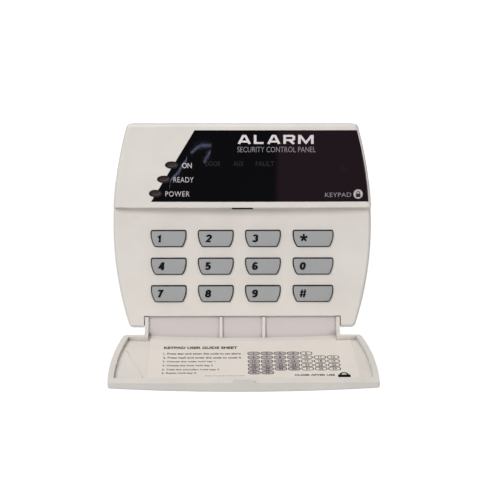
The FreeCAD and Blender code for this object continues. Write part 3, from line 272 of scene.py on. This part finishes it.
def polished(name, colour, alpha, rough=(0.04, 0.09), tone=0.25, specular=0.35,
             right_colour=None, change_x=0.0):
    """Clear or smoked plastic with a polish, faint smears and hairline rub marks."""
    tree, shader = new_material(name)
    factor = add_range(tree, add_noise(tree, 22.0, 3.0), 0.0, 1.0)
    shader_colour = add_mix(tree, factor, scaled(colour, 1 - tone), scaled(colour, 1 + tone))
    if right_colour is not None:
        blend = 1.5 * MM
        across = add_range(tree, add_place(tree, "Object", "X"), 0.0, 1.0, change_x - blend, change_x + blend)
        shader_colour = add_mix(tree, across, shader_colour, right_colour)
    tree.links.new(shader_colour, shader.inputs["Base Color"])
    gloss = add_wear(tree, add_range(tree, add_noise(tree, 70.0, 5.0), rough[0], rough[1]), 0.06)
    tree.links.new(gloss, shader.inputs["Roughness"])
    shader.inputs["Specular IOR Level"].default_value = specular
    shader.inputs["Alpha"].default_value = alpha
    add_bump(tree, shader, add_noise(tree, 55.0, 2.0), 0.05, 0.01 * MM)


HOUSING_WHITE = linear(230, 225, 219)
# painted shade for the gaps and corners of the housing and the door
HOUSING_PAINTED_SHADE = linear(118, 112, 114)
DOOR_PAINTED_SHADE = linear(138, 130, 132)
# painted shade on the flap, deeper than its ribs, where the housing keeps light off it
FLAP_PAINTED_SHADE = linear(212, 205, 205)
FLAP_SHADE_START = FLAP_FRONT - 0.7 * MM
FLAP_SHADE_END = FLAP_FRONT - 0.3 * MM
# painted shade on the keys' sides
KEY_SIDE_PAINTED_SHADE = linear(34, 32, 32)
# painted shade in the gaps around the keys
KEY_GAP_PAINTED_SHADE = linear(22, 20, 20)
LENS_BLACK = linear(4, 4, 8)
LENS_PLUM = linear(32, 20, 28)
LENS_PLUM_FROM_X = 18.5 * MM

# the housing gets painted shade in its corners and gaps
moulded("housing_plastic", HOUSING_WHITE, painted_corner_shade=HOUSING_PAINTED_SHADE)
# the door gets painted shade near its walls and on its deep flap
moulded("door_plastic", HOUSING_WHITE, painted_corner_shade=DOOR_PAINTED_SHADE, reach=6.0 * MM,
        shade=(FLAP_PAINTED_SHADE, FLAP_SHADE_START, FLAP_SHADE_END))
polished("smoked_lens", LENS_BLACK, 0.96, rough=(0.012, 0.03), specular=0.14,
         right_colour=LENS_PLUM, change_x=LENS_PLUM_FROM_X)
moulded("printed_film", linear(9, 10, 14), rough=(0.5, 0.7))
moulded("black_plastic", linear(24, 24, 26), rough=(0.45, 0.6))
polished("led", linear(225, 220, 195), 1.0, rough=(0.15, 0.25), tone=0.1)
moulded("bezel_plastic", linear(16, 12, 12), rough=(0.18, 0.28), specular=0.5)
polished("tinted_window", linear(52, 38, 33), 1.0, rough=(0.12, 0.2), specular=0.5)
moulded("mat_rubber", linear(64, 62, 60), rough=(0.6, 0.8))
# the keys get painted shade on their sides and in the gaps around them
moulded("key_rubber", linear(163, 165, 166), rough=(0.45, 0.6), tone=0.05,
        painted_corner_shade=KEY_GAP_PAINTED_SHADE, reach=2.0 * MM, sides=KEY_SIDE_PAINTED_SHADE)
moulded("carbon", linear(20, 20, 21), rough=(0.7, 0.9))
moulded("circuit_board", linear(24, 84, 50), rough=(0.3, 0.45), tone=0.2)
metal("gold_pad", linear(222, 186, 110))
metal("steel", linear(198, 200, 202))
moulded("chip_epoxy", linear(30, 30, 32), rough=(0.5, 0.65))
moulded("terminal_plastic", linear(34, 120, 66), rough=(0.4, 0.55))
metal("capacitor_can", linear(120, 126, 140), rough=(0.3, 0.45))
moulded("ceramic", linear(40, 40, 44), rough=(0.5, 0.65))
metal("can_metal", linear(205, 206, 208))
metal("spring_steel", linear(180, 182, 186))
moulded("plunger_plastic", linear(224, 221, 212), rough=(0.35, 0.5))
moulded("label_paper", linear(236, 229, 221), rough=(0.6, 0.75), grain=5200.0,
        grain_depth=0.006 * MM, tone=0.04, specular=0.3)

PRINT_COLOURS = {
    "white_print": (232, 224, 226),
    "grey_print": (150, 144, 152),
    "dim_print": (44, 40, 46),
    "word_print": (196, 190, 196),
    "black_print": (5, 5, 6),
    "label_print": (40, 34, 40),
    "heading_print": (10, 8, 12),
    "half_tone": (158, 150, 154),
    "silver_print": (206, 196, 196),
    "tint_print": (190, 181, 182),
}
for print_name, colour in PRINT_COLOURS.items():
    moulded(print_name, linear(*colour), rough=(0.55, 0.65), specular=0.12)

slot_of = {part["node"]: part["material_slot"] for part in frame["record"]["subparts"]}
for node_name, node in frame["nodes"].items():
    node.data.materials.clear()
    node.data.materials.append(materials[slot_of[node_name]])


# ---- the tamper spring, a copy of its own that rides with the case; the real one shortens as its plunger goes in ---
spring_node = frame["nodes"]["tamper_spring"]
spring = bpy.data.objects.new("tamper_spring_coil", spring_node.data.copy())
bpy.context.scene.collection.objects.link(spring)
spring.matrix_world = spring_node.matrix_world.copy()
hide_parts("tamper_spring")
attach(spring, "case")
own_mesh(spring)

# ---- print --------------------------------------------------------------------------------------
PRINT_THICKNESS = 0.04 * MM
OVERPRINT_LIFT = FLOAT_GAP + 1.5 * PRINT_THICKNESS


def add_piece(name, mesh, body, material):
    """A printed piece that rides with a body."""
    piece = bpy.data.objects.new(name, mesh)
    bpy.context.scene.collection.objects.link(piece)
    piece.data.materials.clear()
    piece.data.materials.append(materials[material])
    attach(piece, body)


def weld(mesh):
    """Joins the front, back and sides of printed shapes into closed solids."""
    shape = bmesh.new()
    shape.from_mesh(mesh)
    bmesh.ops.remove_doubles(shape, verts=shape.verts, dist=0.0008 * MM)
    bmesh.ops.recalc_face_normals(shape, faces=shape.faces)
    shape.to_mesh(mesh)
    shape.free()


def text_mesh(text, bold=0.0, spacing=1.0):
    """The outline of some text as a flat-topped closed mesh, one unit high."""
    curve = bpy.data.curves.new("text", "FONT")
    curve.body = text
    curve.size = 1.0
    curve.offset = bold
    curve.space_character = spacing
    curve.extrude = 0.5
    curve.resolution_u = 3
    holder = bpy.data.objects.new("text", curve)
    bpy.context.scene.collection.objects.link(holder)
    bpy.context.view_layer.update()
    mesh = bpy.data.meshes.new_from_object(holder.evaluated_get(bpy.context.evaluated_depsgraph_get()))
    bpy.data.objects.remove(holder)
    bpy.data.curves.remove(curve)
    return mesh


def fit_print(mesh, place, x, low, height, width=None, centred=False, lift=FLOAT_GAP):
    """Lays a flat mesh on a surface: place maps x, a height up the print and a lift to a point."""
    xs = [vertex.co.x for vertex in mesh.vertices]
    ys = [vertex.co.y for vertex in mesh.vertices]
    low_x, high_x, low_y, high_y = min(xs), max(xs), min(ys), max(ys)
    scale_y = height / (high_y - low_y)
    scale_x = scale_y if width is None else width / (high_x - low_x)
    start = x - (high_x - low_x) * scale_x / 2 if centred else x
    for vertex in mesh.vertices:
        u = start + (vertex.co.x - low_x) * scale_x
        v = low + (vertex.co.y - low_y) * scale_y
        vertex.co = place(u, v, lift + (vertex.co.z + 0.5) * PRINT_THICKNESS)
    weld(mesh)
    return mesh


def print_text(name, text, place, x, low, height, width, body, material, bold, spacing=1.0):
    """A line of print on a surface, fitted to a height and a width."""
    mesh = fit_print(text_mesh(text, bold, spacing), place, x, low, height, width)
    add_piece(name, mesh, body, material)


def flat_solid(outlines):
    """Closed flat solids, half a unit thick each way, from outlines given as lists of points."""
    shape = bmesh.new()
    for outline in outlines:
        rings = []
        for z in (-0.5, 0.5):
            rings.append([shape.verts.new((x, y, z)) for x, y in outline])
        shape.faces.new(rings[0])
        shape.faces.new(rings[1])
        for index in range(len(outline)):
            after = (index + 1) % len(outline)
            shape.faces.new((rings[0][index], rings[0][after], rings[1][after], rings[1][index]))
    bmesh.ops.recalc_face_normals(shape, faces=shape.faces)
    mesh = bpy.data.meshes.new("print")
    shape.to_mesh(mesh)
    shape.free()
    return mesh


def flat_ring(outer, inner):
    """A closed flat ring between two outlines with the same number of points."""
    shape = bmesh.new()
    loops = []
    for outline in (outer, inner):
        for z in (-0.5, 0.5):
            loops.append([shape.verts.new((x, y, z)) for x, y in outline])
    order = (loops[0], loops[1], loops[3], loops[2])
    for index in range(len(outer)):
        after = (index + 1) % len(outer)
        for step in range(4):
            one, two = order[step], order[(step + 1) % 4]
            shape.faces.new((one[index], one[after], two[after], two[index]))
    bmesh.ops.recalc_face_normals(shape, faces=shape.faces)
    mesh = bpy.data.meshes.new("ring")
    shape.to_mesh(mesh)
    shape.free()
    return mesh


def round_outline(width, height, x, y, count, power=1.0):
    """An oval; a power under one makes its ends blunter."""
    points = []
    for index in range(count):
        angle = 2 * math.pi * index / count
        dx = math.copysign(abs(math.cos(angle)) ** power, math.cos(angle))
        dy = math.copysign(abs(math.sin(angle)) ** power, math.sin(angle))
        points.append((x + dx * width / 2, y + dy * height / 2))
    return points


def in_mm(outline):
    """An outline given in millimetres, in metres."""
    return [(x * MM, y * MM) for x, y in outline]


def laid(mesh, place, lift=FLOAT_GAP):
    """Moves a flat mesh drawn at full size onto a surface."""
    for vertex in mesh.vertices:
        vertex.co = place(vertex.co.x, vertex.co.y, lift + (vertex.co.z + 0.5) * PRINT_THICKNESS)
    return mesh


def joined(meshes):
    """One mesh from several."""
    shape = bmesh.new()
    for mesh in meshes:
        shape.from_mesh(mesh)
        bpy.data.meshes.remove(mesh)
    result = bpy.data.meshes.new("joined")
    shape.to_mesh(result)
    shape.free()
    return result


# ---- heavy letters and digits -------------------------------------------------------------------
def arc(x, y, rx, ry, start, end, count=14):
    """Points along an oval from one angle to another, in degrees."""
    points = []
    for index in range(count + 1):
        angle = math.radians(start + (end - start) * index / count)
        points.append((x + rx * math.cos(angle), y + ry * math.sin(angle)))
    return points


# Every sign is one or more centre lines in a cell one unit high.
STROKES = {
    "0": [arc(0.29, 0.5, 0.19, 0.4, 90.3, 449.7, 28)],
    "1": [[(0.14, 0.72), (0.26, 0.78), (0.37, 0.9), (0.37, 0.0)]],
    "2": [arc(0.29, 0.67, 0.19, 0.23, 170, -40) + [(0.12, 0.1), (0.53, 0.1)]],
    "3": [arc(0.27, 0.7, 0.18, 0.2, 160, -85), arc(0.27, 0.3, 0.2, 0.2, 85, -160)],
    "4": [[(0.4, 0.0), (0.4, 1.0)], [(0.34, 0.92), (0.1, 0.32), (0.56, 0.32)]],
    "5": [[(0.5, 0.9), (0.18, 0.9), (0.14, 0.5)] + arc(0.29, 0.34, 0.2, 0.24, 125, -150)],
    "6": [arc(0.31, 0.62, 0.19, 0.28, 40, 180) + arc(0.3, 0.31, 0.18, 0.21, 180, 500, 22)],
    "7": [[(0.08, 0.9), (0.5, 0.9), (0.42, 0.7), (0.24, 0.0)]],
    "8": [arc(0.29, 0.7, 0.16, 0.2, -89.7, 269.7, 24), arc(0.29, 0.3, 0.19, 0.2, 90.3, 449.7, 24)],
    "9": [arc(0.27, 0.38, 0.19, 0.28, 220, 360) + arc(0.28, 0.69, 0.18, 0.21, 0, 320, 22)],
    "#": [[(0.15, 0.0), (0.2, 1.0)], [(0.43, 0.0), (0.48, 1.0)],
          [(0.0, 0.33), (0.6, 0.33)], [(0.02, 0.68), (0.62, 0.68)]],
    "A": [[(0.06, 0.0), (0.42, 0.9), (0.6, 0.9), (0.96, 0.0)], [(0.24, 0.26), (0.78, 0.26)]],
    "L": [[(0.1, 1.0), (0.1, 0.1), (0.8, 0.1)]],
    "R": [[(0.1, 0.0), (0.1, 0.9), (0.76, 0.9), (0.86, 0.82), (0.86, 0.52), (0.76, 0.42), (0.2, 0.42)],
          [(0.5, 0.42), (0.88, 0.0)]],
    "M": [[(0.1, 0.0), (0.1, 1.0)], [(0.14, 0.96), (0.64, 0.12), (1.14, 0.96)], [(1.18, 0.0), (1.18, 1.0)]],
}


def ribbon(points, half):
    """The outline of a line drawn with a flat pen."""
    left = []
    right = []
    for index, point in enumerate(points):
        here = Vector(point)
        ways = []
        if index > 0:
            ways.append((here - Vector(points[index - 1])).normalized())
        if index < len(points) - 1:
            ways.append((Vector(points[index + 1]) - here).normalized())
        way = sum(ways, Vector((0.0, 0.0))).normalized()
        side = Vector((-way.y, way.x))
        reach = half / max(way.dot(ways[0]), 0.6)
        left.append(tuple(here + side * reach))
        right.append(tuple(here - side * reach))
    return left + right[::-1]


def stroke_mesh(signs, half, slant=0.0, gap=0.24):
    """Signs drawn with a flat pen, side by side, as closed flat solids."""
    outlines = []
    start = 0.0
    for sign in signs:
        lines = STROKES[sign]
        for line in lines:
            placed = [(x + start, y) for x, y in ribbon(line, half)]
            outlines.append([(x + slant * y, y) for x, y in placed])
        start += max(x for line in lines for x, y in line) + half + gap
    return flat_solid(outlines)


# ---- legends on the keys ------------------------------------------------------------------------
LEGENDS = {"key_0": "0", "key_hash": "#"}
LEGENDS.update({"key_" + digit: digit for digit in "123456789"})
LEGEND_HEIGHT = 4.3 * MM
LEGEND_LEFT = 3.35 * MM
LEGEND_RAISE = 0.15 * MM
LEGEND_SLANT = 0.09
LEGEND_PEN = 0.125
HASH_PEN = 0.085
LEGEND_STRETCH = 1.3
STAR_HEIGHT = 4.1 * MM
STAR_DROP = 1.6 * MM


def star_outline(arms, reach, waist, half_width):
    """A star with blunt arms."""
    points = []
    for index in range(arms):
        angle = math.pi / 2 + 2 * math.pi * index / arms
        along = Vector((math.cos(angle), math.sin(angle)))
        across = Vector((-along.y, along.x)) * half_width
        notch = angle + math.pi / arms
        points.append(tuple(along * reach - across))
        points.append(tuple(along * reach + across))
        points.append((math.cos(notch) * waist, math.sin(notch) * waist))
    return points


for key_name, legend in LEGENDS.items():
    on_key, left, middle = key_top(key_name)
    sign = stroke_mesh(legend, HASH_PEN if legend == "#" else LEGEND_PEN, LEGEND_SLANT)
    for vertex in sign.vertices:
        vertex.co.x *= LEGEND_STRETCH
    low = middle - LEGEND_HEIGHT / 2 + LEGEND_RAISE
    fit_print(sign, on_key, left + LEGEND_LEFT, low, LEGEND_HEIGHT)
    add_piece(key_name + "_legend", sign, key_name, "black_print")

on_key, left, middle = key_top("key_star")
star = flat_solid([star_outline(arms=5, reach=1.0, waist=0.44, half_width=0.27)])
fit_print(star, on_key, left + LEGEND_LEFT, middle - STAR_DROP, STAR_HEIGHT)
add_piece("key_star_legend", star, "key_star", "black_print")

# ---- print on the lens --------------------------------------------------------------------------
# name, words, left edge, lower edge, height, width, material, boldness, letter spacing; in millimetres
LENS_LINES = (
    ("title_line", "SECURITY CONTROL PANEL", -2.8, 40.0, 2.9, 42.0, "grey_print", -0.006, 1.0),
    ("word_on", "ON", -32.4, 31.5, 2.8, 5.2, "white_print", 0.0, 1.0),
    ("word_ready", "READY", -37.0, 23.9, 2.8, 10.8, "word_print", 0.0, 1.05),
    ("word_power", "POWER", -41.4, 16.3, 2.8, 13.0, "word_print", 0.0, 1.1),
    ("word_door", "DOOR", -19.6, 32.6, 2.6, 7.8, "dim_print", 0.0, 1.0),
    ("word_aux", "AUX", -4.8, 32.6, 2.6, 5.4, "dim_print", 0.0, 1.0),
    ("word_fault", "FAULT", 7.1, 32.6, 2.6, 9.8, "dim_print", 0.0, 1.0),
    ("word_keypad", "KEYPAD", 44.3, 16.0, 2.3, 14.2, "grey_print", 0.0, 1.05),
)
for name, words, x, z, height, width, colour, bold, spacing in LENS_LINES:
    print_text(name, words, on_hood, x * MM, z * MM, height * MM, width * MM,
               "case", colour, bold, spacing)

TITLE_PEN = 0.11
title = fit_print(stroke_mesh("ALARM", TITLE_PEN), on_hood, -2.6 * MM, 44.1 * MM, 5.2 * MM, 40.7 * MM)
add_piece("title", title, "case", "white_print")

# in millimetres, as every outline that in_mm takes
BADGE_X = 62.2
BADGE_Z = 17.5
BADGE_DIAMETER = 5.0
BADGE_LOCK_WIDTH = 2.5
BADGE_LOCK_HEIGHT = 3.4


def padlock(x, y, width, height):
    """The outlines of a plain padlock, centred on a point."""
    half = width / 2
    shoulder = y + height * 0.06
    foot = y - height / 2
    body = [(x - half, foot), (x + half, foot), (x + half, shoulder), (x - half, shoulder)]
    outer = width * 0.36
    inner = width * 0.2
    legs = y + height * 0.5 - outer
    bow = [(x + outer, shoulder)] + arc(x, legs, outer, outer, 0, 180, 9) + [(x - outer, shoulder)]
    bow += [(x - inner, shoulder)] + arc(x, legs, inner, inner, 180, 0, 9) + [(x + inner, shoulder)]
    return [body, bow]


badge = flat_solid([in_mm(round_outline(BADGE_DIAMETER, BADGE_DIAMETER, BADGE_X, BADGE_Z, 36))])
add_piece("badge", laid(badge, on_hood), "case", "silver_print")
badge_lock = padlock(BADGE_X, BADGE_Z, BADGE_LOCK_WIDTH, BADGE_LOCK_HEIGHT)
badge_mark = flat_solid([in_mm(outline) for outline in badge_lock])
add_piece("badge_mark", laid(badge_mark, on_hood, OVERPRINT_LIFT), "case", "label_print")

# ---- print on the door's label ------------------------------------------------------------------
# name, words, left edge, lower edge, height, width, material, boldness; in millimetres
LABEL_LINES = (
    ("heading", "KEYPAD USER GUIDE SHEET", -42.2, 35.2, 2.9, 39.3, "heading_print", 0.035),
    ("line_1", "1. Press star and enter the code to set alarm", -42.3, 28.7, 2.1, 41.2, "label_print", 0.018),
    ("line_2", "2. Press hash and enter the code to unset it", -42.3, 24.1, 2.1, 41.4, "label_print", 0.018),
    ("line_3", "3. Change the code: hold key 1", -42.4, 19.5, 2.1, 27.6, "label_print", 0.018),
    ("line_4", "4. Change the time: hold key 2", -42.5, 15.0, 2.1, 26.6, "label_print", 0.018),
    ("line_5", "5. Test the sounder: hold key 3", -42.5, 10.4, 2.1, 29.8, "label_print", 0.018),
    ("line_6", "6. Reset: hold key 0", -42.5, 6.6, 2.1, 17.9, "label_print", 0.018),
    ("note", "Keep this guide inside the door", -19.9, 3.9, 1.5, 20.9, "half_tone", 0.0),
    ("words", "CLOSE AFTER USE", 26.6, 4.4, 1.9, 20.8, "heading_print", 0.03),
)
for name, words, x, rise, height, width, colour, bold in LABEL_LINES:
    print_text("label_" + name, words, on_label, x * MM, rise * MM, height * MM, width * MM,
               "door", colour, bold)

# a grid of numbered cells, in millimetres
CELL_START_X = 5.7
CELL_PITCH_X = 7.0
CELL_RISES = (29.9, 25.3, 20.8, 16.4, 12.3, 8.2)
CELLS_IN_ROW = (5, 7, 7, 7, 7, 2)
CELL_WIDTH = 6.6
CELL_HEIGHT = 3.9
CELL_LINE = 0.45
CELL_TINT_INSET = 1.17
CELL_NUMBER_HEIGHT = 1.8
TINTED_COLUMNS = 4


def cell_outline(x, rise, trim):
    """A cell's blunt oval, with trim taken off its width and height."""
    return in_mm(round_outline(CELL_WIDTH - trim, CELL_HEIGHT - trim, x, rise, 20, 0.7))


rings = []
tints = []
numbers = []
for rise, count in zip(CELL_RISES, CELLS_IN_ROW):
    for column in range(count):
        x = CELL_START_X + CELL_PITCH_X * column
        ring = flat_ring(cell_outline(x, rise, 0.0), cell_outline(x, rise, 2 * CELL_LINE))
        rings.append(laid(ring, on_label))
        if column < TINTED_COLUMNS:
            tint = flat_solid([cell_outline(x, rise, CELL_TINT_INSET)])
            tints.append(laid(tint, on_label))
        number = text_mesh(str(len(rings)), bold=0.02)
        low = rise - CELL_NUMBER_HEIGHT / 2
        numbers.append(fit_print(number, on_label, x * MM, low * MM, CELL_NUMBER_HEIGHT * MM,
                                 centred=True, lift=OVERPRINT_LIFT))
add_piece("label_cells", joined(rings), "door", "label_print")
add_piece("label_tints", joined(tints), "door", "tint_print")
add_piece("label_numbers", joined(numbers), "door", "label_print")

LABEL_LOCK_X = 52.2
LABEL_LOCK_RISE = 5.4
LABEL_LOCK_WIDTH = 6.4
LABEL_LOCK_HEIGHT = 5.8
label_lock = padlock(LABEL_LOCK_X, LABEL_LOCK_RISE, LABEL_LOCK_WIDTH, LABEL_LOCK_HEIGHT)
label_mark = flat_solid([in_mm(outline) for outline in label_lock])
add_piece("label_mark", laid(label_mark, on_label), "door", "black_print")

# ---- a fine weld line on the door's floor --------------------------------------------------------
# place across the door and rise from its free edge, in millimetres
WELD_LINE_POINTS = ((-61.8, 31.0), (-60.3, 26.2), (-58.8, 21.4), (-57.2, 16.4), (-55.4, 11.2), (-53.6, 5.4),
                    (-52.2, 1.2))
WELD_LINE_HALF_WIDTH = 0.3
WELD_LINE_HEIGHT = 0.45 * MM


def ridge(points, half_width, height, place):
    """A low ridge with sloping flanks along a line on a surface."""
    shape = bmesh.new()
    rows = []
    for index, (x, rise) in enumerate(points):
        before = points[max(index - 1, 0)]
        after = points[min(index + 1, len(points) - 1)]
        along = Vector((after[0] - before[0], after[1] - before[1])).normalized()
        across = Vector((-along.y, along.x)) * half_width
        row = []
        for share, lift in ((-1.0, 0.02), (-0.6, 0.7), (0.6, 0.7), (1.0, 0.02)):
            place_x = (x + across.x * share) * MM
            place_rise = (rise + across.y * share) * MM
            row.append(shape.verts.new(place(place_x, place_rise, lift * height)))
        rows.append(row)
    for one, two in zip(rows, rows[1:]):
        for index in range(4):
            after = (index + 1) % 4
            shape.faces.new((one[index], one[after], two[after], two[index]))
    shape.faces.new(rows[0])
    shape.faces.new(rows[-1])
    bmesh.ops.recalc_face_normals(shape, faces=shape.faces)
    mesh = bpy.data.meshes.new("ridge")
    shape.to_mesh(mesh)
    shape.free()
    return mesh


weld_line = ridge(WELD_LINE_POINTS, WELD_LINE_HALF_WIDTH, WELD_LINE_HEIGHT, on_door_floor)
add_piece("door_weld_line", weld_line, "door", "door_plastic")

# ---- stage, light and camera --------------------------------------------------------------------
FLOOR_LEVEL = -0.5
FLOOR_PLAN = ((-8, -4), (8, -4), (8, 12), (-8, 12))
FLOOR_GLOW = 0.75
floor_mesh = bpy.data.meshes.new("floor")
floor_corners = [(x, y, FLOOR_LEVEL) for x, y in FLOOR_PLAN]
floor_mesh.from_pydata(floor_corners, [], [(0, 1, 2, 3)])
floor = bpy.data.objects.new("floor", floor_mesh)
bpy.context.scene.collection.objects.link(floor)
moulded("floor_white", (0.95, 0.95, 0.95, 1.0), rough=(0.7, 0.8), tone=0.01, specular=0.1)
floor_shader = materials["floor_white"].node_tree.nodes["Principled BSDF"]
floor_shader.inputs["Emission Color"].default_value = (1.0, 1.0, 1.0, 1.0)
floor_shader.inputs["Emission Strength"].default_value = FLOOR_GLOW
floor.data.materials.append(materials["floor_white"])
floor.visible_diffuse = False


def soft_light(name, place, target, size, power, colour):
    """A rectangular light that faces a target."""
    data = bpy.data.lights.new(name, "AREA")
    data.shape = "RECTANGLE"
    data.size, data.size_y = size
    data.energy = power
    data.color = colour
    light = bpy.data.objects.new(name, data)
    bpy.context.scene.collection.objects.link(light)
    light.location = place
    light.rotation_euler = (Vector(target) - Vector(place)).to_track_quat("-Z", "Y").to_euler()
    return light


# name, place, side of the square, power in watts, colour
SOFT_LIGHTS = (
    ("key_light", (-0.75, -1.3, 0.8), 0.7, 15.6, (1.0, 0.985, 0.97)),
    ("fill_light", (0.9, -1.3, -0.35), 0.9, 5.6, (1.0, 0.975, 0.99)),
    ("top_light", (0.0, -0.3, 1.4), 1.0, 4.2, (1.0, 1.0, 1.0)),
)
for name, place, side, power, colour in SOFT_LIGHTS:
    soft_light(name, place, (0, 0, 0), (side, side), power, colour)

STREAK_WIDTH = 0.003
STREAK_BRIGHTNESS = 17.0
STREAK_BLUE = (0.55, 0.6, 1.0)
STREAK_TARGET = Vector((0, 0, 0.03))


def lens_streak(start, end):
    """A thin strip light in front of the keypad that the polished lens mirrors as a faint streak."""
    length = (end - start).length
    power = STREAK_BRIGHTNESS * math.pi * length * STREAK_WIDTH
    size = (length, STREAK_WIDTH)
    strip = soft_light("streak_light", (start + end) / 2, STREAK_TARGET, size, power, STREAK_BLUE)
    facing = (STREAK_TARGET - strip.location).normalized()
    along = (end - start).normalized()
    up_way = -facing.cross(along)
    strip.rotation_euler = Matrix((along, up_way, -facing)).transposed().to_euler()


# bent lines, as X and Z of their corners in metres
STREAK_LINES = (
    ((-0.140, -0.006), (-0.161, -0.024), (-0.194, -0.049)),
    ((-0.128, 0.001), (-0.098, 0.013), (-0.072, 0.014)),
    ((-0.075, 0.005), (-0.091, -0.012)),
)
STREAK_Y = -1.5
for line in STREAK_LINES:
    for (x0, z0), (x1, z1) in zip(line, line[1:]):
        lens_streak(Vector((x0, STREAK_Y, z0)), Vector((x1, STREAK_Y, z1)))

# The world lights the keypad less brightly than the camera sees it.
WORLD_LIGHT = 0.3
WORLD_SEEN = 1.3
world = bpy.data.worlds.new("studio")
world.use_nodes = True
bpy.context.scene.world = world
background = world.node_tree.nodes["Background"]
background.inputs["Color"].default_value = (1.0, 0.99, 0.985, 1.0)
rays = world.node_tree.nodes.new("ShaderNodeLightPath")
level = world.node_tree.nodes.new("ShaderNodeMapRange")
level.inputs["To Min"].default_value = WORLD_LIGHT
level.inputs["To Max"].default_value = WORLD_SEEN
world.node_tree.links.new(rays.outputs["Is Camera Ray"], level.inputs["Value"])
world.node_tree.links.new(level.outputs["Result"], background.inputs["Strength"])

CAMERA_LENS = 113.0  # focal length in millimetres
CAMERA_DISTANCE = 0.85
CAMERA_AZIMUTH = math.radians(-1.0)
CAMERA_ELEVATION = math.radians(5.0)
AIM_X = 4.1 * MM
AIM_Z = -13.0 * MM
aim = Vector((AIM_X, KEY_FIELD, AIM_Z))
away = Vector((math.sin(CAMERA_AZIMUTH) * math.cos(CAMERA_ELEVATION),
               -math.cos(CAMERA_AZIMUTH) * math.cos(CAMERA_ELEVATION),
               math.sin(CAMERA_ELEVATION)))
camera_data = bpy.data.cameras.new("camera")
camera_data.lens = CAMERA_LENS
camera = bpy.data.objects.new("camera", camera_data)
bpy.context.scene.collection.objects.link(camera)
camera.location = aim + away * CAMERA_DISTANCE
camera.rotation_euler = (-away).to_track_quat("-Z", "Y").to_euler()
bpy.context.scene.camera = camera
bpy.context.scene.view_settings.view_transform = "Standard"
